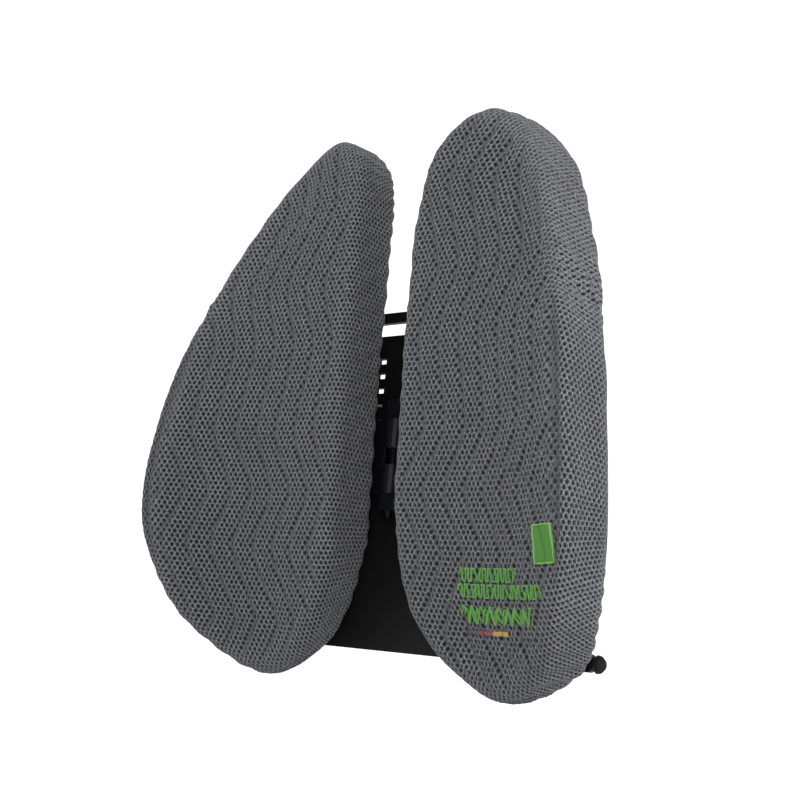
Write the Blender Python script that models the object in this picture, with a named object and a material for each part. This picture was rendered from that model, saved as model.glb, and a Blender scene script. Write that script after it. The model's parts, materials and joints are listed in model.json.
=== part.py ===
"""Dual-pad lumbar support for an office chair, in metres, +Z up.

+X is to the viewer's right, -Y is the side that the sitter leans on, and the origin is the middle
of the rear rubber grip, where the support rests on the chair's back. Two padded wings turn on
upright hinges beside a central tower. The base that carries them slides up and down on a carriage,
which a belt holds to the chair.
"""

import math

import bpy
import numpy as np
from mathutils import Vector

MM = 0.001
GAP = 0.3 * MM  # between two pieces that touch

# ---------------------------------------------------------------- driving dimensions
# Pad: one closed outline in its own plane, u away from the other pad and v up.
PAD_OUTLINE = [  # (u, v) in millimetres, anticlockwise from the top
    (-28, 180), (-62, 153), (-71, 90), (-71, -20), (-68, -125), (-45, -188), (12, -220),
    (72, -190), (100, -135), (103, -75), (84, 18), (49, 100), (14, 154),
]
PAD_CLEARANCE = 8.0 * MM  # from a hinge axis out to the pad's inner edge
PAD_Z = 48.0 * MM
PAD_DEPTH = 50.0 * MM  # front to back at the rim
LAND_CUT = 5.0 * MM  # how far the flat land cuts into the pad's back at its origin
PAD_YAW = 6.3  # degrees, outer edge forward, at v = 0
PAD_TWIST = 10.0  # degrees of yaw gained per metre up
PAD_WRAP = 4.0  # 1/m, how fast the face curves forward away from u = 0
PAD_DROP = 0.2  # 1/m, how fast it falls back away from v = PAD_DROP_V
PAD_DROP_V = 80.0 * MM
PAD_CROWN = 9.0 * MM  # how far the foam swells in the middle of the face
FRONT_RIM = 12.5 * MM
BACK_RIM = 9.0 * MM
OUTLINE_STEPS = 3  # points for each span of the outline

COVER_WALL = 2.5 * MM
COVER_LIP = 24.0 * MM  # how far the cover wraps on to the pad's back
LAYER_GAP = 1.4 * MM  # between the curved layers of a pad
BOARD_THICKNESS = 3.0 * MM

# Hinges and their tower
HINGE_X = 20.0 * MM
HINGE_STANDOFF = 14.0 * MM  # hinge axes in front of the plate
LAND_STANDOFF = 1.0 * MM  # flat land of the pad's back, in front of the hinge axes
PIN_RADIUS = 3.0 * MM
RUNNING = 0.3 * MM  # radial clearance of the pin
BUSH_WALL = 1.2 * MM
KNUCKLE_RADIUS = 7.0 * MM
TOWER_CLEARANCE = 1.0 * MM  # between the tower and a knuckle
TOWER_NOSE = 10.0 * MM  # tower's front, in front of the hinge axes
TOWER_BOTTOM = -49.0 * MM
TOWER_TOP = 30.0 * MM
EAR_HEIGHT = 12.0 * MM
SPRING_HEIGHT = 12.0 * MM
SPRING_WIRE = 0.7 * MM  # radius
SPRING_RADIUS = 5.0 * MM
SPRING_TURNS = 4
PIN_HEAD = 2.5 * MM
PIN_TAIL = 5.0 * MM  # pin below the tower
CLIP_THICKNESS = 1.5 * MM
CLIP_WIDTH = 2.0 * MM
TOWER_SCREW_DEPTH = 11.0 * MM  # into the tower

# Wing arm: the stiff shell behind each pad
ARM_THICKNESS = 4.0 * MM
ARM_STANDOFF = 0.8 * MM
ARM_V_MIDDLE = -48.0 * MM
ARM_HALF_HEIGHT = 56.0 * MM
ARM_U_INNER = -62.0 * MM
ARM_U_TOP = 60.0 * MM  # outer edge at the arm's top
ARM_U_BOTTOM = 76.0 * MM  # outer edge at its foot
ARM_SCREW_INSET = 4.0 * MM  # screws inside the pad's origin
ARM_SCREW_Z = {"upper": 20.0 * MM, "lower": -30.0 * MM}
BOSS_RADIUS = 7.0 * MM

# Base plate, its strap slots, its ladder of windows and its cross-bar
PLATE_THICKNESS = 5.0 * MM
PLATE_MARGIN = 2.0 * MM  # plate outside its rails
PLATE_CORNER = 5.0 * MM
BAR_SHOULDER = 14.0 * MM  # where the cross-bar starts to taper, outside the plate
PLATE_TOP = 103.0 * MM
PLATE_BOTTOM = -148.0 * MM
BAR_HALF_LENGTH = 158.0 * MM
BAR_HEIGHT = 20.0 * MM
BAR_END_HEIGHT = 11.0 * MM
SLOT_INNER = 32.0 * MM
SLOT_LENGTH = 42.0 * MM
SLOT_HEIGHT = 10.0 * MM
SLOT_RAIL = 8.0 * MM  # the strip of plate above a slot
WINDOW_INNER = 50.5 * MM
WINDOW_WIDTH = 13.5 * MM
WINDOW_HEIGHT = 4.2 * MM
WINDOW_PITCH = 11.2 * MM
WINDOW_REST_Z = 32.0 * MM  # the window that holds the index finger at rest
WINDOWS_ABOVE = 3
WINDOWS_BELOW = 2
CAP_LENGTH = 7.0 * MM
CAP_LIP = 0.5 * MM  # cap's radius beyond half the bar's end
CAP_FLATNESS = 0.75  # cap's depth as a share of its height
CAP_PROFILE = [(0.0, 0.8), (0.21, 1.0), (0.6, 0.92), (1.0, 0.5)]  # (share of length, share of radius)
CAP_CROWN = 0.6 * MM

# Carriage, rails, grip and belt behind the plate
CARRIAGE_HALF_WIDTH = 73.7 * MM
CARRIAGE_TOP = 38.0 * MM
CARRIAGE_BOTTOM = -80.0 * MM
SLIDE_THICKNESS = 6.7 * MM
BLOCK_HALF_WIDTH = 56.0 * MM
BLOCK_BOTTOM = -38.0 * MM
BLOCK_DEPTH = 6.0 * MM  # thick block behind the slide plate
GRIP_THICKNESS = 4.7 * MM
GRIP_HALF_WIDTH = 52.0 * MM
GRIP_HALF_HEIGHT = 34.0 * MM
RAIL_FOOT = 8.0 * MM
RAIL_LIP = 4.0 * MM
RAIL_LIP_THICKNESS = 2.7 * MM
RAIL_SPARE = 2.0 * MM  # rail past the carriage's travel
RAIL_SCREW_Z = {"upper": 50.0 * MM, "lower": -82.0 * MM}
BELT_WIDTH = 25.0 * MM
BELT_Z = -58.5 * MM
BELT_STANDOFF = 5.0 * MM  # middle of the belt behind the slide plate
BELT_HALF_THICKNESS = 1.5 * MM
BELT_BAR_X = 62.0 * MM
BELT_BAR_RADIUS = 1.5 * MM
BELT_EAR = 3.0 * MM
BELT_EAR_HALF_WIDTH = 5.0 * MM
BELT_EAR_REACH = 4.5 * MM  # ear beyond the middle of its bar
RING_BAR_X = 8.5 * MM
FINGER_WIDTH = 8.0 * MM
FINGER_LENGTH = 26.0 * MM
FINGER_THICKNESS = 2.5 * MM
LABEL_U = 84.0 * MM
LABEL_V = -124.0 * MM
LABEL_HALF_WIDTH = 8.5 * MM
LABEL_HALF_HEIGHT = 11.5 * MM
LABEL_THICKNESS = 0.8 * MM

SCREW_RADIUS = 2.0 * MM
SCREW_HEAD_RADIUS = 4.0 * MM
SCREW_HEAD = 2.4 * MM
SMALL_SCREW_RADIUS = 1.5 * MM
SMALL_HEAD_RADIUS = 2.8 * MM
SMALL_HEAD = 1.8 * MM
SIDES = 16  # of a round piece

# Depths that follow, from the grip's rear face at y = 0 to the pad
BLOCK_BACK = -GRIP_THICKNESS - GAP
SLIDE_BACK = BLOCK_BACK - BLOCK_DEPTH
CARRIAGE_FRONT = SLIDE_BACK - SLIDE_THICKNESS
PLATE_BACK = CARRIAGE_FRONT - GAP
PLATE_FRONT = PLATE_BACK - PLATE_THICKNESS
HINGE_Y = PLATE_FRONT - HINGE_STANDOFF
LAND_Y = HINGE_Y - LAND_STANDOFF
PAD_Y = LAND_Y - PAD_DEPTH + LAND_CUT
BELT_Y = SLIDE_BACK + BELT_STANDOFF
# Widths that follow
TOWER_HALF_WIDTH = HINGE_X - KNUCKLE_RADIUS - TOWER_CLEARANCE
PAD_X = HINGE_X + PAD_CLEARANCE - min(u for u, _ in PAD_OUTLINE) * MM
ARM_SCREW_X = PAD_X - ARM_SCREW_INSET
RAIL_OUTER = CARRIAGE_HALF_WIDTH + GAP + RAIL_FOOT
PLATE_HALF_WIDTH = RAIL_OUTER + PLATE_MARGIN
SIDE_SIGN = {"left": -1, "right": 1}

FINISHES = {  # name: colour, roughness, metallic
    "air_mesh": ((0.10, 0.105, 0.115), 0.9, 0.0),
    "foam": ((0.30, 0.30, 0.28), 0.95, 0.0),
    "board": ((0.05, 0.05, 0.055), 0.6, 0.0),
    "black_plastic": ((0.02, 0.021, 0.024), 0.42, 0.0),
    "arm_plastic": ((0.03, 0.033, 0.04), 0.35, 0.0),
    "steel": ((0.55, 0.56, 0.58), 0.3, 1.0),
    "acetal": ((0.75, 0.75, 0.72), 0.5, 0.0),
    "grey_plastic": ((0.22, 0.23, 0.24), 0.5, 0.0),
    "rubber": ((0.025, 0.025, 0.027), 0.85, 0.0),
    "webbing": ((0.03, 0.03, 0.033), 0.9, 0.0),
    "label_cloth": ((0.22, 0.55, 0.12), 0.8, 0.0),
}


# ---------------------------------------------------------------- scene and object helpers
def clear_scene():
    """Removes every object that the file opened with."""
    for obj in list(bpy.data.objects):
        bpy.data.objects.remove(obj)


def finish(name):
    """The Principled material of that name, made once."""
    material = bpy.data.materials.get(name)
    if material:
        return material
    colour, roughness, metallic = FINISHES[name]
    material = bpy.data.materials.new(name)
    material.use_nodes = True
    shader = material.node_tree.nodes["Principled BSDF"]
    shader.inputs["Base Color"].default_value = (*colour, 1)
    shader.inputs["Roughness"].default_value = roughness
    shader.inputs["Metallic"].default_value = metallic
    return material


def piece(name, shape, material, axis=None, smooth=False):
    """Makes a named object of (points, faces), in world space, and hangs it from its axis empty."""
    points, faces = shape
    mesh = bpy.data.meshes.new(name)
    mesh.from_pydata([tuple(p) for p in points], [], faces)
    mesh.update()
    if smooth:
        mesh.shade_smooth()
        mesh.set_sharp_from_angle(angle=math.radians(40))
    obj = bpy.data.objects.new(name, mesh)
    bpy.context.scene.collection.objects.link(obj)
    mesh.materials.append(finish(material))
    if axis:
        obj.parent = axis
        obj.matrix_parent_inverse = axis.matrix_world.inverted()
    return obj


def helper(target, name, shape, operation):
    """Adds a hidden operand to an object, as an exact Boolean: DIFFERENCE or UNION."""
    obj = piece(f"{target.name}_{name}", shape, target.data.materials[0].name)
    obj.hide_render = True
    obj.display_type = "WIRE"
    modifier = target.modifiers.new(name, "BOOLEAN")
    modifier.operation = operation
    modifier.object = obj


def axis_empty(name, x, y, z):
    """An empty that marks where a group of pieces turns or slides."""
    empty = bpy.data.objects.new(name, None)
    empty.location = (x, y, z)
    bpy.context.scene.collection.objects.link(empty)
    bpy.context.view_layer.update()
    return empty


# ---------------------------------------------------------------- shapes, each as (points, faces)
def prism(outline, low, high, axis):
    """Extrudes a closed outline along X, Y or Z, from low to high."""
    flat = [Vector((a, b)) for a, b in outline]
    count = len(flat)
    turn = sum(flat[i - 1].cross(flat[i]) for i in range(count))
    if turn < 0:
        flat.reverse()
    places = {"X": lambda p, h: (h, p.x, p.y), "Y": lambda p, h: (p.x, h, p.y), "Z": lambda p, h: (p.x, p.y, h)}
    place = places[axis]
    points = [place(p, low) for p in flat] + [place(p, high) for p in flat]
    sides = [(i, (i + 1) % count, (i + 1) % count + count, i + count) for i in range(count)]
    faces = [tuple(reversed(range(count))), tuple(range(count, 2 * count))] + sides
    if axis == "Y":
        faces = [tuple(reversed(face)) for face in faces]
    return points, faces


def box(x, y, z):
    """A block between two values of each coordinate."""
    outline = [(min(x), min(y)), (max(x), min(y)), (max(x), max(y)), (min(x), max(y))]
    return prism(outline, min(z), max(z), "Z")


def circle(a, b, radius, sides=SIDES):
    """A round outline about (a, b)."""
    turns = [2 * math.pi * i / sides for i in range(sides)]
    return [(a + radius * math.cos(t), b + radius * math.sin(t)) for t in turns]


def rounded(corners, radius, steps=4):
    """The outline with each corner replaced by an arc of that radius, or by what its sides allow."""
    outline = []
    count = len(corners)
    for i in range(count):
        corner = Vector(corners[i])
        back = Vector(corners[i - 1]) - corner
        ahead = Vector(corners[(i + 1) % count]) - corner
        half = back.angle(ahead) / 2
        reach = min(radius / math.tan(half), 0.45 * back.length, 0.45 * ahead.length)
        real = reach * math.tan(half)
        start = corner + back.normalized() * reach
        end = corner + ahead.normalized() * reach
        centre = corner + (back.normalized() + ahead.normalized()).normalized() * real / math.sin(half)
        for step in range(steps + 1):
            mixed = start.lerp(end, step / steps) - centre
            outline.append(tuple(centre + mixed.normalized() * real))
    return outline


def combined(shapes):
    """Several separate shapes as one, for a set of cutters."""
    points, faces = [], []
    for more_points, more_faces in shapes:
        start = len(points)
        points += list(more_points)
        faces += [tuple(i + start for i in face) for face in more_faces]
    return points, faces


def on_side(shape, sign):
    """The shape as it is for the right side, or its mirror image for the left."""
    points, faces = shape
    if sign > 0:
        return shape
    return [(-x, y, z) for x, y, z in points], [tuple(reversed(face)) for face in faces]


def screw_along_y(x, z, head_y, tip_y, radius, head_radius, head):
    """A turned screw whose head's front face is at head_y and whose tip is at tip_y, towards -Y."""
    profile = [(0, head_y + head), (head_radius * 0.8, head_y + head), (head_radius, head_y + head * 0.6),
               (head_radius, head_y), (radius, head_y), (radius, tip_y + radius), (0, tip_y)]
    return turned_about_y(profile, x, z)


def turned_about_y(profile, x, z):
    """Spins a profile of (radius, y), from back to front, about the line through (x, z)."""
    points = [(x, profile[0][1], z)]
    for radius, y in profile[1:-1]:
        points += [(px, y, pz) for px, pz in circle(x, z, radius)]
    points.append((x, profile[-1][1], z))
    faces = ring_faces(len(profile) - 2, SIDES)
    return points, [tuple(reversed(face)) for face in faces]


def ring_faces(rings, count):
    """Faces over a first pole, rings of count points, and a last pole."""
    faces = []
    last = rings * count + 1
    for i in range(count):
        j = (i + 1) % count
        faces.append((0, 1 + i, 1 + j))
        for ring in range(rings - 1):
            a = 1 + ring * count
            b = a + count
            faces.append((a + i, b + i, b + j, a + j))
        a = 1 + (rings - 1) * count
        faces.append((a + j, a + i, last))
    return faces


def tube(x, y, inner, outer, low, high):
    """An upright sleeve."""
    points = []
    for radius, z in ((outer, low), (outer, high), (inner, high), (inner, low)):
        points += [(px, py, z) for px, py in circle(x, y, radius)]
    return points, loop_faces(4, SIDES)


def loop_faces(rings, count):
    """Faces over rings that close on themselves both ways."""
    faces = []
    for ring in range(rings):
        a = ring * count
        b = (ring + 1) % rings * count
        for i in range(count):
            j = (i + 1) % count
            faces.append((a + i, a + j, b + j, b + i))
    return faces


def coil(x, y, low, high, radius, wire, turns, sign):
    """A helical spring with closed ends, wound about an upright line."""
    steps, sides = 14 * turns, 6
    points = []
    for i in range(steps + 1):
        angle = 2 * math.pi * turns * i / steps * sign
        along = Vector((math.cos(angle), math.sin(angle), 0))
        z = low + wire + (high - low - 2 * wire) * i / steps
        centre = Vector((x, y, z)) + along * radius
        for k in range(sides):
            t = 2 * math.pi * k / sides
            points.append(tuple(centre + along * wire * math.cos(t) + Vector((0, 0, wire * math.sin(t)))))
    faces = [tuple(range(sides)), tuple(reversed(range(steps * sides, (steps + 1) * sides)))]
    for i in range(steps):
        a, b = i * sides, (i + 1) * sides
        for k in range(sides):
            j = (k + 1) % sides
            faces.append((a + k, b + k, b + j, a + j))
    if sign < 0:
        faces = [tuple(reversed(face)) for face in faces]
    return points, faces


# ---------------------------------------------------------------- the pad's surfaces
def pad_outline(inset):
    """The pad's outline as an array of (u, v), moved inwards by inset: a closed Catmull-Rom curve."""
    knots = np.array(PAD_OUTLINE, float) * MM
    points = []
    for i in range(len(knots)):
        p0, p1, p2, p3 = (knots[(i + k) % len(knots)] for k in (-1, 0, 1, 2))
        for step in range(OUTLINE_STEPS):
            t = step / OUTLINE_STEPS
            points.append(
                0.5 * (2 * p1 + (p2 - p0) * t + (2 * p0 - 5 * p1 + 4 * p2 - p3) * t**2
                       + (3 * p1 - p0 - 3 * p2 + p3) * t**3)
            )
    points = np.array(points)
    along = np.roll(points, -1, 0) - np.roll(points, 1, 0)
    along /= np.linalg.norm(along, axis=1)[:, None]
    return points + inset * np.stack([-along[:, 1], along[:, 0]], 1)


def pad_point(u, v, from_front=None, from_back=None):
    """A point of the right pad: so far behind its front sheet, or so far in front of its back."""
    yaw = math.radians(PAD_YAW + PAD_TWIST * v)
    forward = PAD_WRAP * u**2 - PAD_DROP * (v - PAD_DROP_V) ** 2
    x = PAD_X + u * math.cos(yaw) - forward * math.sin(yaw)
    y = PAD_Y - u * math.sin(yaw) - forward * math.cos(yaw)
    depth = min(PAD_DEPTH, (LAND_Y - y) / math.cos(yaw))
    back = from_front if from_back is None else depth - from_back
    return x + back * math.sin(yaw), y + back * math.cos(yaw), PAD_Z + v


def pad_ring(inset, from_front=None, from_back=None, share=1.0):
    """One ring of a pad's surface: the outline moved in, then drawn towards the middle by share."""
    outline = pad_outline(inset)
    middle = pad_outline(0).mean(axis=0)
    drawn = middle + (outline - middle) * share
    return [pad_point(u, v, from_front, from_back) for u, v in drawn]


def pad_pole(from_front=None, from_back=None):
    """The middle of a pad's surface."""
    u, v = pad_outline(0).mean(axis=0)
    return [pad_point(u, v, from_front, from_back)]


def face_rings(wall):
    """Pole and rings from the middle of the crowned face out to the rim, that far inside the cover."""
    rings = [pad_pole(from_front=wall - PAD_CROWN)]
    for share in (0.3, 0.55, 0.75, 0.9):
        rings.append(pad_ring(FRONT_RIM, wall - PAD_CROWN * (1 - share**2), share=share))
    for step in range(4):
        angle = math.pi / 2 * step / 3
        radius = FRONT_RIM - wall
        inset = FRONT_RIM - radius * math.sin(angle)
        rings.append(pad_ring(inset, FRONT_RIM - radius * math.cos(angle)))
    return rings


def back_rings(wall, floor):
    """Rings from the side band round on to the pad's back, that far inside the cover and its back."""
    rings = []
    for step in range(3):
        angle = math.pi / 2 * step / 2
        radius = BACK_RIM - wall
        inset = BACK_RIM - radius * math.cos(angle)
        rings.append(pad_ring(inset, from_back=BACK_RIM - (BACK_RIM - floor) * math.sin(angle)))
    return rings


def cover_shape():
    """The sewn cover: a bowl of one wall, open at the back inside its lip."""
    outer = face_rings(0) + back_rings(0, 0) + [pad_ring(COVER_LIP, from_back=0)]
    inner = face_rings(COVER_WALL) + back_rings(COVER_WALL, COVER_WALL) + [pad_ring(COVER_LIP, from_back=COVER_WALL)]
    return rings_shape(outer + inner[::-1])


def foam_shape():
    """The foam that fills the cover as far as the board."""
    wall = COVER_WALL + 2 * GAP
    behind = COVER_WALL + LAYER_GAP + BOARD_THICKNESS + LAYER_GAP
    rings = face_rings(wall) + [pad_ring(wall, from_back=behind + 4 * MM), pad_ring(wall + 3 * MM, from_back=behind)]
    return rings_shape(rings + [pad_pole(from_back=behind)])


def board_shape():
    """The stiff board that the cover is stretched round, its back flush inside the cover's lip."""
    wall = COVER_WALL + LAYER_GAP
    edge = BACK_RIM + wall
    front = wall + BOARD_THICKNESS
    stations = [(COVER_LIP, 0.4), (COVER_LIP, 0.7), (COVER_LIP, 1.0), (edge, 1.0)]
    rings = [pad_pole(from_back=front)]
    rings += [pad_ring(inset, from_back=front, share=share) for inset, share in stations]
    rings += [pad_ring(inset, from_back=wall, share=share) for inset, share in stations[::-1]]
    return rings_shape(rings + [pad_pole(from_back=wall)])


def rings_shape(rings):
    """A closed surface over rings, of which the first and the last are single points."""
    points = [p for ring in rings for p in ring]
    count = len(rings[1])
    return points, ring_faces(len(rings) - 2, count)


def arm_shape():
    """The arm's sheet: a rounded panel along the pad's back, drawn in to the knuckles at the hinge."""
    columns, rows = 13, 9
    spread = np.linspace(-1, 1, rows)
    fronts, backs = [], []
    knuckle_half = (TOWER_TOP - TOWER_BOTTOM) / 2 - EAR_HEIGHT - GAP
    knuckle_middle = (TOWER_TOP + TOWER_BOTTOM) / 2
    for offset, column in ((-ARM_THICKNESS / 2, fronts), (ARM_THICKNESS / 2, backs)):
        column.append([(HINGE_X, HINGE_Y + offset, knuckle_middle + knuckle_half * s) for s in spread])
    for i in range(columns):
        share = i / (columns - 1)
        rounding = (1 - (0.985 * share) ** 8) ** (1 / 8)
        opening = min(1.0, share * 3)
        half = rounding * (knuckle_half + (ARM_HALF_HEIGHT - knuckle_half) * opening)
        middle = knuckle_middle - PAD_Z + (ARM_V_MIDDLE - knuckle_middle + PAD_Z) * opening
        front, back = [], []
        for s in spread:
            v = middle + half * s
            slope = (ARM_V_MIDDLE + ARM_HALF_HEIGHT - v) / (2 * ARM_HALF_HEIGHT)
            outer = ARM_U_TOP + (ARM_U_BOTTOM - ARM_U_TOP) * slope
            u = ARM_U_INNER + (outer - ARM_U_INNER) * share
            front.append(pad_point(u, v, from_back=-ARM_STANDOFF))
            back.append(pad_point(u, v, from_back=-ARM_STANDOFF - ARM_THICKNESS))
        fronts.append(front)
        backs.append(back)
    return slab_shape(fronts, backs)


def slab_shape(fronts, backs):
    """A closed slab between two grids of points, given as columns."""
    columns, rows = len(fronts), len(fronts[0])
    points = [p for column in fronts + backs for p in column]
    behind = columns * rows
    faces = []
    for c in range(columns - 1):
        for r in range(rows - 1):
            a, b = c * rows + r, (c + 1) * rows + r
            faces.append((a, b, b + 1, a + 1))
            faces.append((a + behind, a + 1 + behind, b + 1 + behind, b + behind))
    for c in range(columns - 1):
        a, b = c * rows, (c + 1) * rows
        faces.append((a, a + behind, b + behind, b))
        a, b = a + rows - 1, b + rows - 1
        faces.append((a, b, b + behind, a + behind))
    for r in range(rows - 1):
        faces.append((r, r + 1, r + 1 + behind, r + behind))
        a = (columns - 1) * rows + r
        faces.append((a, a + behind, a + 1 + behind, a + 1))
    return points, faces


# ---------------------------------------------------------------- sub-parts
def knuckle_spans():
    """(low, high) of the lower and the upper knuckle, either side of the spring."""
    middle = (TOWER_TOP + TOWER_BOTTOM) / 2
    low = TOWER_BOTTOM + EAR_HEIGHT + GAP
    high = TOWER_TOP - EAR_HEIGHT - GAP
    half = SPRING_HEIGHT / 2 + GAP
    return {"lower": (low, middle - half), "upper": (middle + half, high)}


def build_tower(base):
    """The central tower with an ear above and below each wing's knuckles."""
    back, front = PLATE_FRONT - GAP, HINGE_Y - TOWER_NOSE
    outline = rounded([(-TOWER_HALF_WIDTH, back), (-TOWER_HALF_WIDTH, front), (TOWER_HALF_WIDTH, front),
                       (TOWER_HALF_WIDTH, back)], TOWER_HALF_WIDTH / 2)
    tower = piece("pivot_tower", prism(outline, TOWER_BOTTOM, TOWER_TOP, "Z"), "arm_plastic", base)
    spans = {"lower": (TOWER_BOTTOM, TOWER_BOTTOM + EAR_HEIGHT), "upper": (TOWER_TOP - EAR_HEIGHT, TOWER_TOP)}
    for name, (low, high) in spans.items():
        reach = HINGE_X + KNUCKLE_RADIUS
        ear = rounded([(-reach, HINGE_Y - KNUCKLE_RADIUS), (reach, HINGE_Y - KNUCKLE_RADIUS),
                       (reach, HINGE_Y + KNUCKLE_RADIUS), (-reach, HINGE_Y + KNUCKLE_RADIUS)], KNUCKLE_RADIUS)
        helper(tower, f"{name}_ears", prism(ear, low + 0.01 * MM, high - 0.01 * MM, "Z"), "UNION")
    bores = [
        prism(circle(sign * HINGE_X, HINGE_Y, PIN_RADIUS + RUNNING), TOWER_BOTTOM - 5 * MM, TOWER_TOP + 5 * MM, "Z")
        for sign in SIDE_SIGN.values()
    ]
    deep = PLATE_FRONT - TOWER_SCREW_DEPTH - MM
    bores += [prism(circle(0, z, SCREW_RADIUS + GAP), deep, PLATE_FRONT, "Y") for z in tower_screw_places().values()]
    helper(tower, "bores", combined(bores), "DIFFERENCE")


def tower_screw_places():
    """Heights of the two screws that hold the tower."""
    return {"upper": TOWER_TOP - EAR_HEIGHT, "lower": TOWER_BOTTOM + EAR_HEIGHT}


def plate_outline():
    """Half of the base, mirrored: an upright plate on a long low cross-bar."""
    right = [
        (BAR_HALF_LENGTH, PLATE_BOTTOM), (BAR_HALF_LENGTH, PLATE_BOTTOM + BAR_END_HEIGHT),
        (PLATE_HALF_WIDTH + BAR_SHOULDER, PLATE_BOTTOM + BAR_HEIGHT),
        (PLATE_HALF_WIDTH, PLATE_BOTTOM + 2 * BAR_HEIGHT), (PLATE_HALF_WIDTH, PLATE_TOP),
    ]
    return right + [(-x, z) for x, z in reversed(right)]


def build_base(base):
    """The base plate with strap slots, the ladder of windows, and screw holes."""
    outline = rounded(plate_outline(), PLATE_CORNER)
    plate = piece("base_plate", prism(outline, PLATE_FRONT, PLATE_BACK, "Y"), "black_plastic", base)
    front, back = PLATE_FRONT - 3 * MM, PLATE_BACK + 3 * MM
    cutters = []
    slot_top = PLATE_TOP - SLOT_RAIL
    for sign in SIDE_SIGN.values():
        ends = (sign * SLOT_INNER, sign * (SLOT_INNER + SLOT_LENGTH))
        cutters.append(box(ends, (front, back), (slot_top - SLOT_HEIGHT, slot_top)))
        for step in range(-WINDOWS_BELOW, WINDOWS_ABOVE + 1):
            z = WINDOW_REST_Z + step * WINDOW_PITCH
            ends = (sign * WINDOW_INNER, sign * (WINDOW_INNER + WINDOW_WIDTH))
            cutters.append(box(ends, (front, back), (z - WINDOW_HEIGHT / 2, z + WINDOW_HEIGHT / 2)))
        for z in RAIL_SCREW_Z.values():
            hole = circle(sign * rail_screw_x(), z, SMALL_SCREW_RADIUS + GAP)
            cutters.append(prism(hole, PLATE_FRONT + 1.2 * MM, back, "Y"))
    cutters += [prism(circle(0, z, SCREW_RADIUS + GAP), front, back, "Y") for z in tower_screw_places().values()]
    cutters += [prism(circle(0, z, SCREW_HEAD_RADIUS + GAP), PLATE_BACK - SCREW_HEAD - GAP, back, "Y")
                for z in tower_screw_places().values()]
    for index, cutter in enumerate(cutters):
        helper(plate, f"cut_{index}", cutter, "DIFFERENCE")
    for name, z in tower_screw_places().items():
        shape = screw_along_y(0, z, PLATE_BACK - SCREW_HEAD, PLATE_FRONT - TOWER_SCREW_DEPTH, SCREW_RADIUS,
                              SCREW_HEAD_RADIUS, SCREW_HEAD)
        piece(f"tower_screw_{name}", shape, "steel", base, smooth=True)
    for side, sign in SIDE_SIGN.items():
        build_end_cap(side, sign, base)


def build_end_cap(side, sign, base):
    """A rubber cap on the end of the cross-bar, rounded like a button."""
    middle_z = PLATE_BOTTOM + BAR_END_HEIGHT / 2
    middle_y = (PLATE_FRONT + PLATE_BACK) / 2
    radius = BAR_END_HEIGHT / 2 + CAP_LIP
    start = BAR_HALF_LENGTH + GAP
    rings = [[(start, middle_y, middle_z)]]
    for along, share in CAP_PROFILE:
        ring = circle(0, 0, radius * share)
        rings.append([(start + CAP_LENGTH * along, middle_y + CAP_FLATNESS * a, middle_z + b) for a, b in ring])
    rings.append([(start + CAP_LENGTH + CAP_CROWN, middle_y, middle_z)])
    points = [p for ring in rings for p in ring]
    faces = [tuple(reversed(face)) for face in ring_faces(len(rings) - 2, SIDES)]
    piece(f"{side}_end_cap", on_side((points, faces), sign), "rubber", base, smooth=True)


def rail_screw_x():
    """The middle of a rail's foot."""
    return (CARRIAGE_HALF_WIDTH + GAP + RAIL_OUTER) / 2


def rail_span():
    """(low, high) of a rail: the carriage and its travel both ways."""
    up = WINDOWS_ABOVE * WINDOW_PITCH
    down = WINDOWS_BELOW * WINDOW_PITCH
    return CARRIAGE_BOTTOM - down - RAIL_SPARE, CARRIAGE_TOP + up + RAIL_SPARE


def build_rails(base):
    """The two guide rails, each an angle whose lip holds the edge of the carriage."""
    inner = CARRIAGE_HALF_WIDTH + GAP
    lip_front = SLIDE_BACK + GAP
    lip_back = lip_front + RAIL_LIP_THICKNESS
    profile = [(inner, PLATE_BACK + GAP), (RAIL_OUTER, PLATE_BACK + GAP), (RAIL_OUTER, lip_back),
               (inner - RAIL_LIP, lip_back), (inner - RAIL_LIP, lip_front), (inner, lip_front)]
    for side, sign in SIDE_SIGN.items():
        rail = piece(f"{side}_guide_rail", on_side(prism(profile, *rail_span(), "Z"), sign), "black_plastic", base)
        holes = [prism(circle(rail_screw_x(), z, SMALL_SCREW_RADIUS + GAP), PLATE_BACK - MM, lip_back + MM, "Y")
                 for z in RAIL_SCREW_Z.values()]
        helper(rail, "holes", on_side(combined(holes), sign), "DIFFERENCE")
        for name, z in RAIL_SCREW_Z.items():
            shape = screw_along_y(rail_screw_x(), z, lip_back + GAP, PLATE_FRONT + 1.6 * MM, SMALL_SCREW_RADIUS,
                                  SMALL_HEAD_RADIUS, SMALL_HEAD)
            piece(f"{side}_rail_screw_{name}", on_side(shape, sign), "steel", base, smooth=True)


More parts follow.
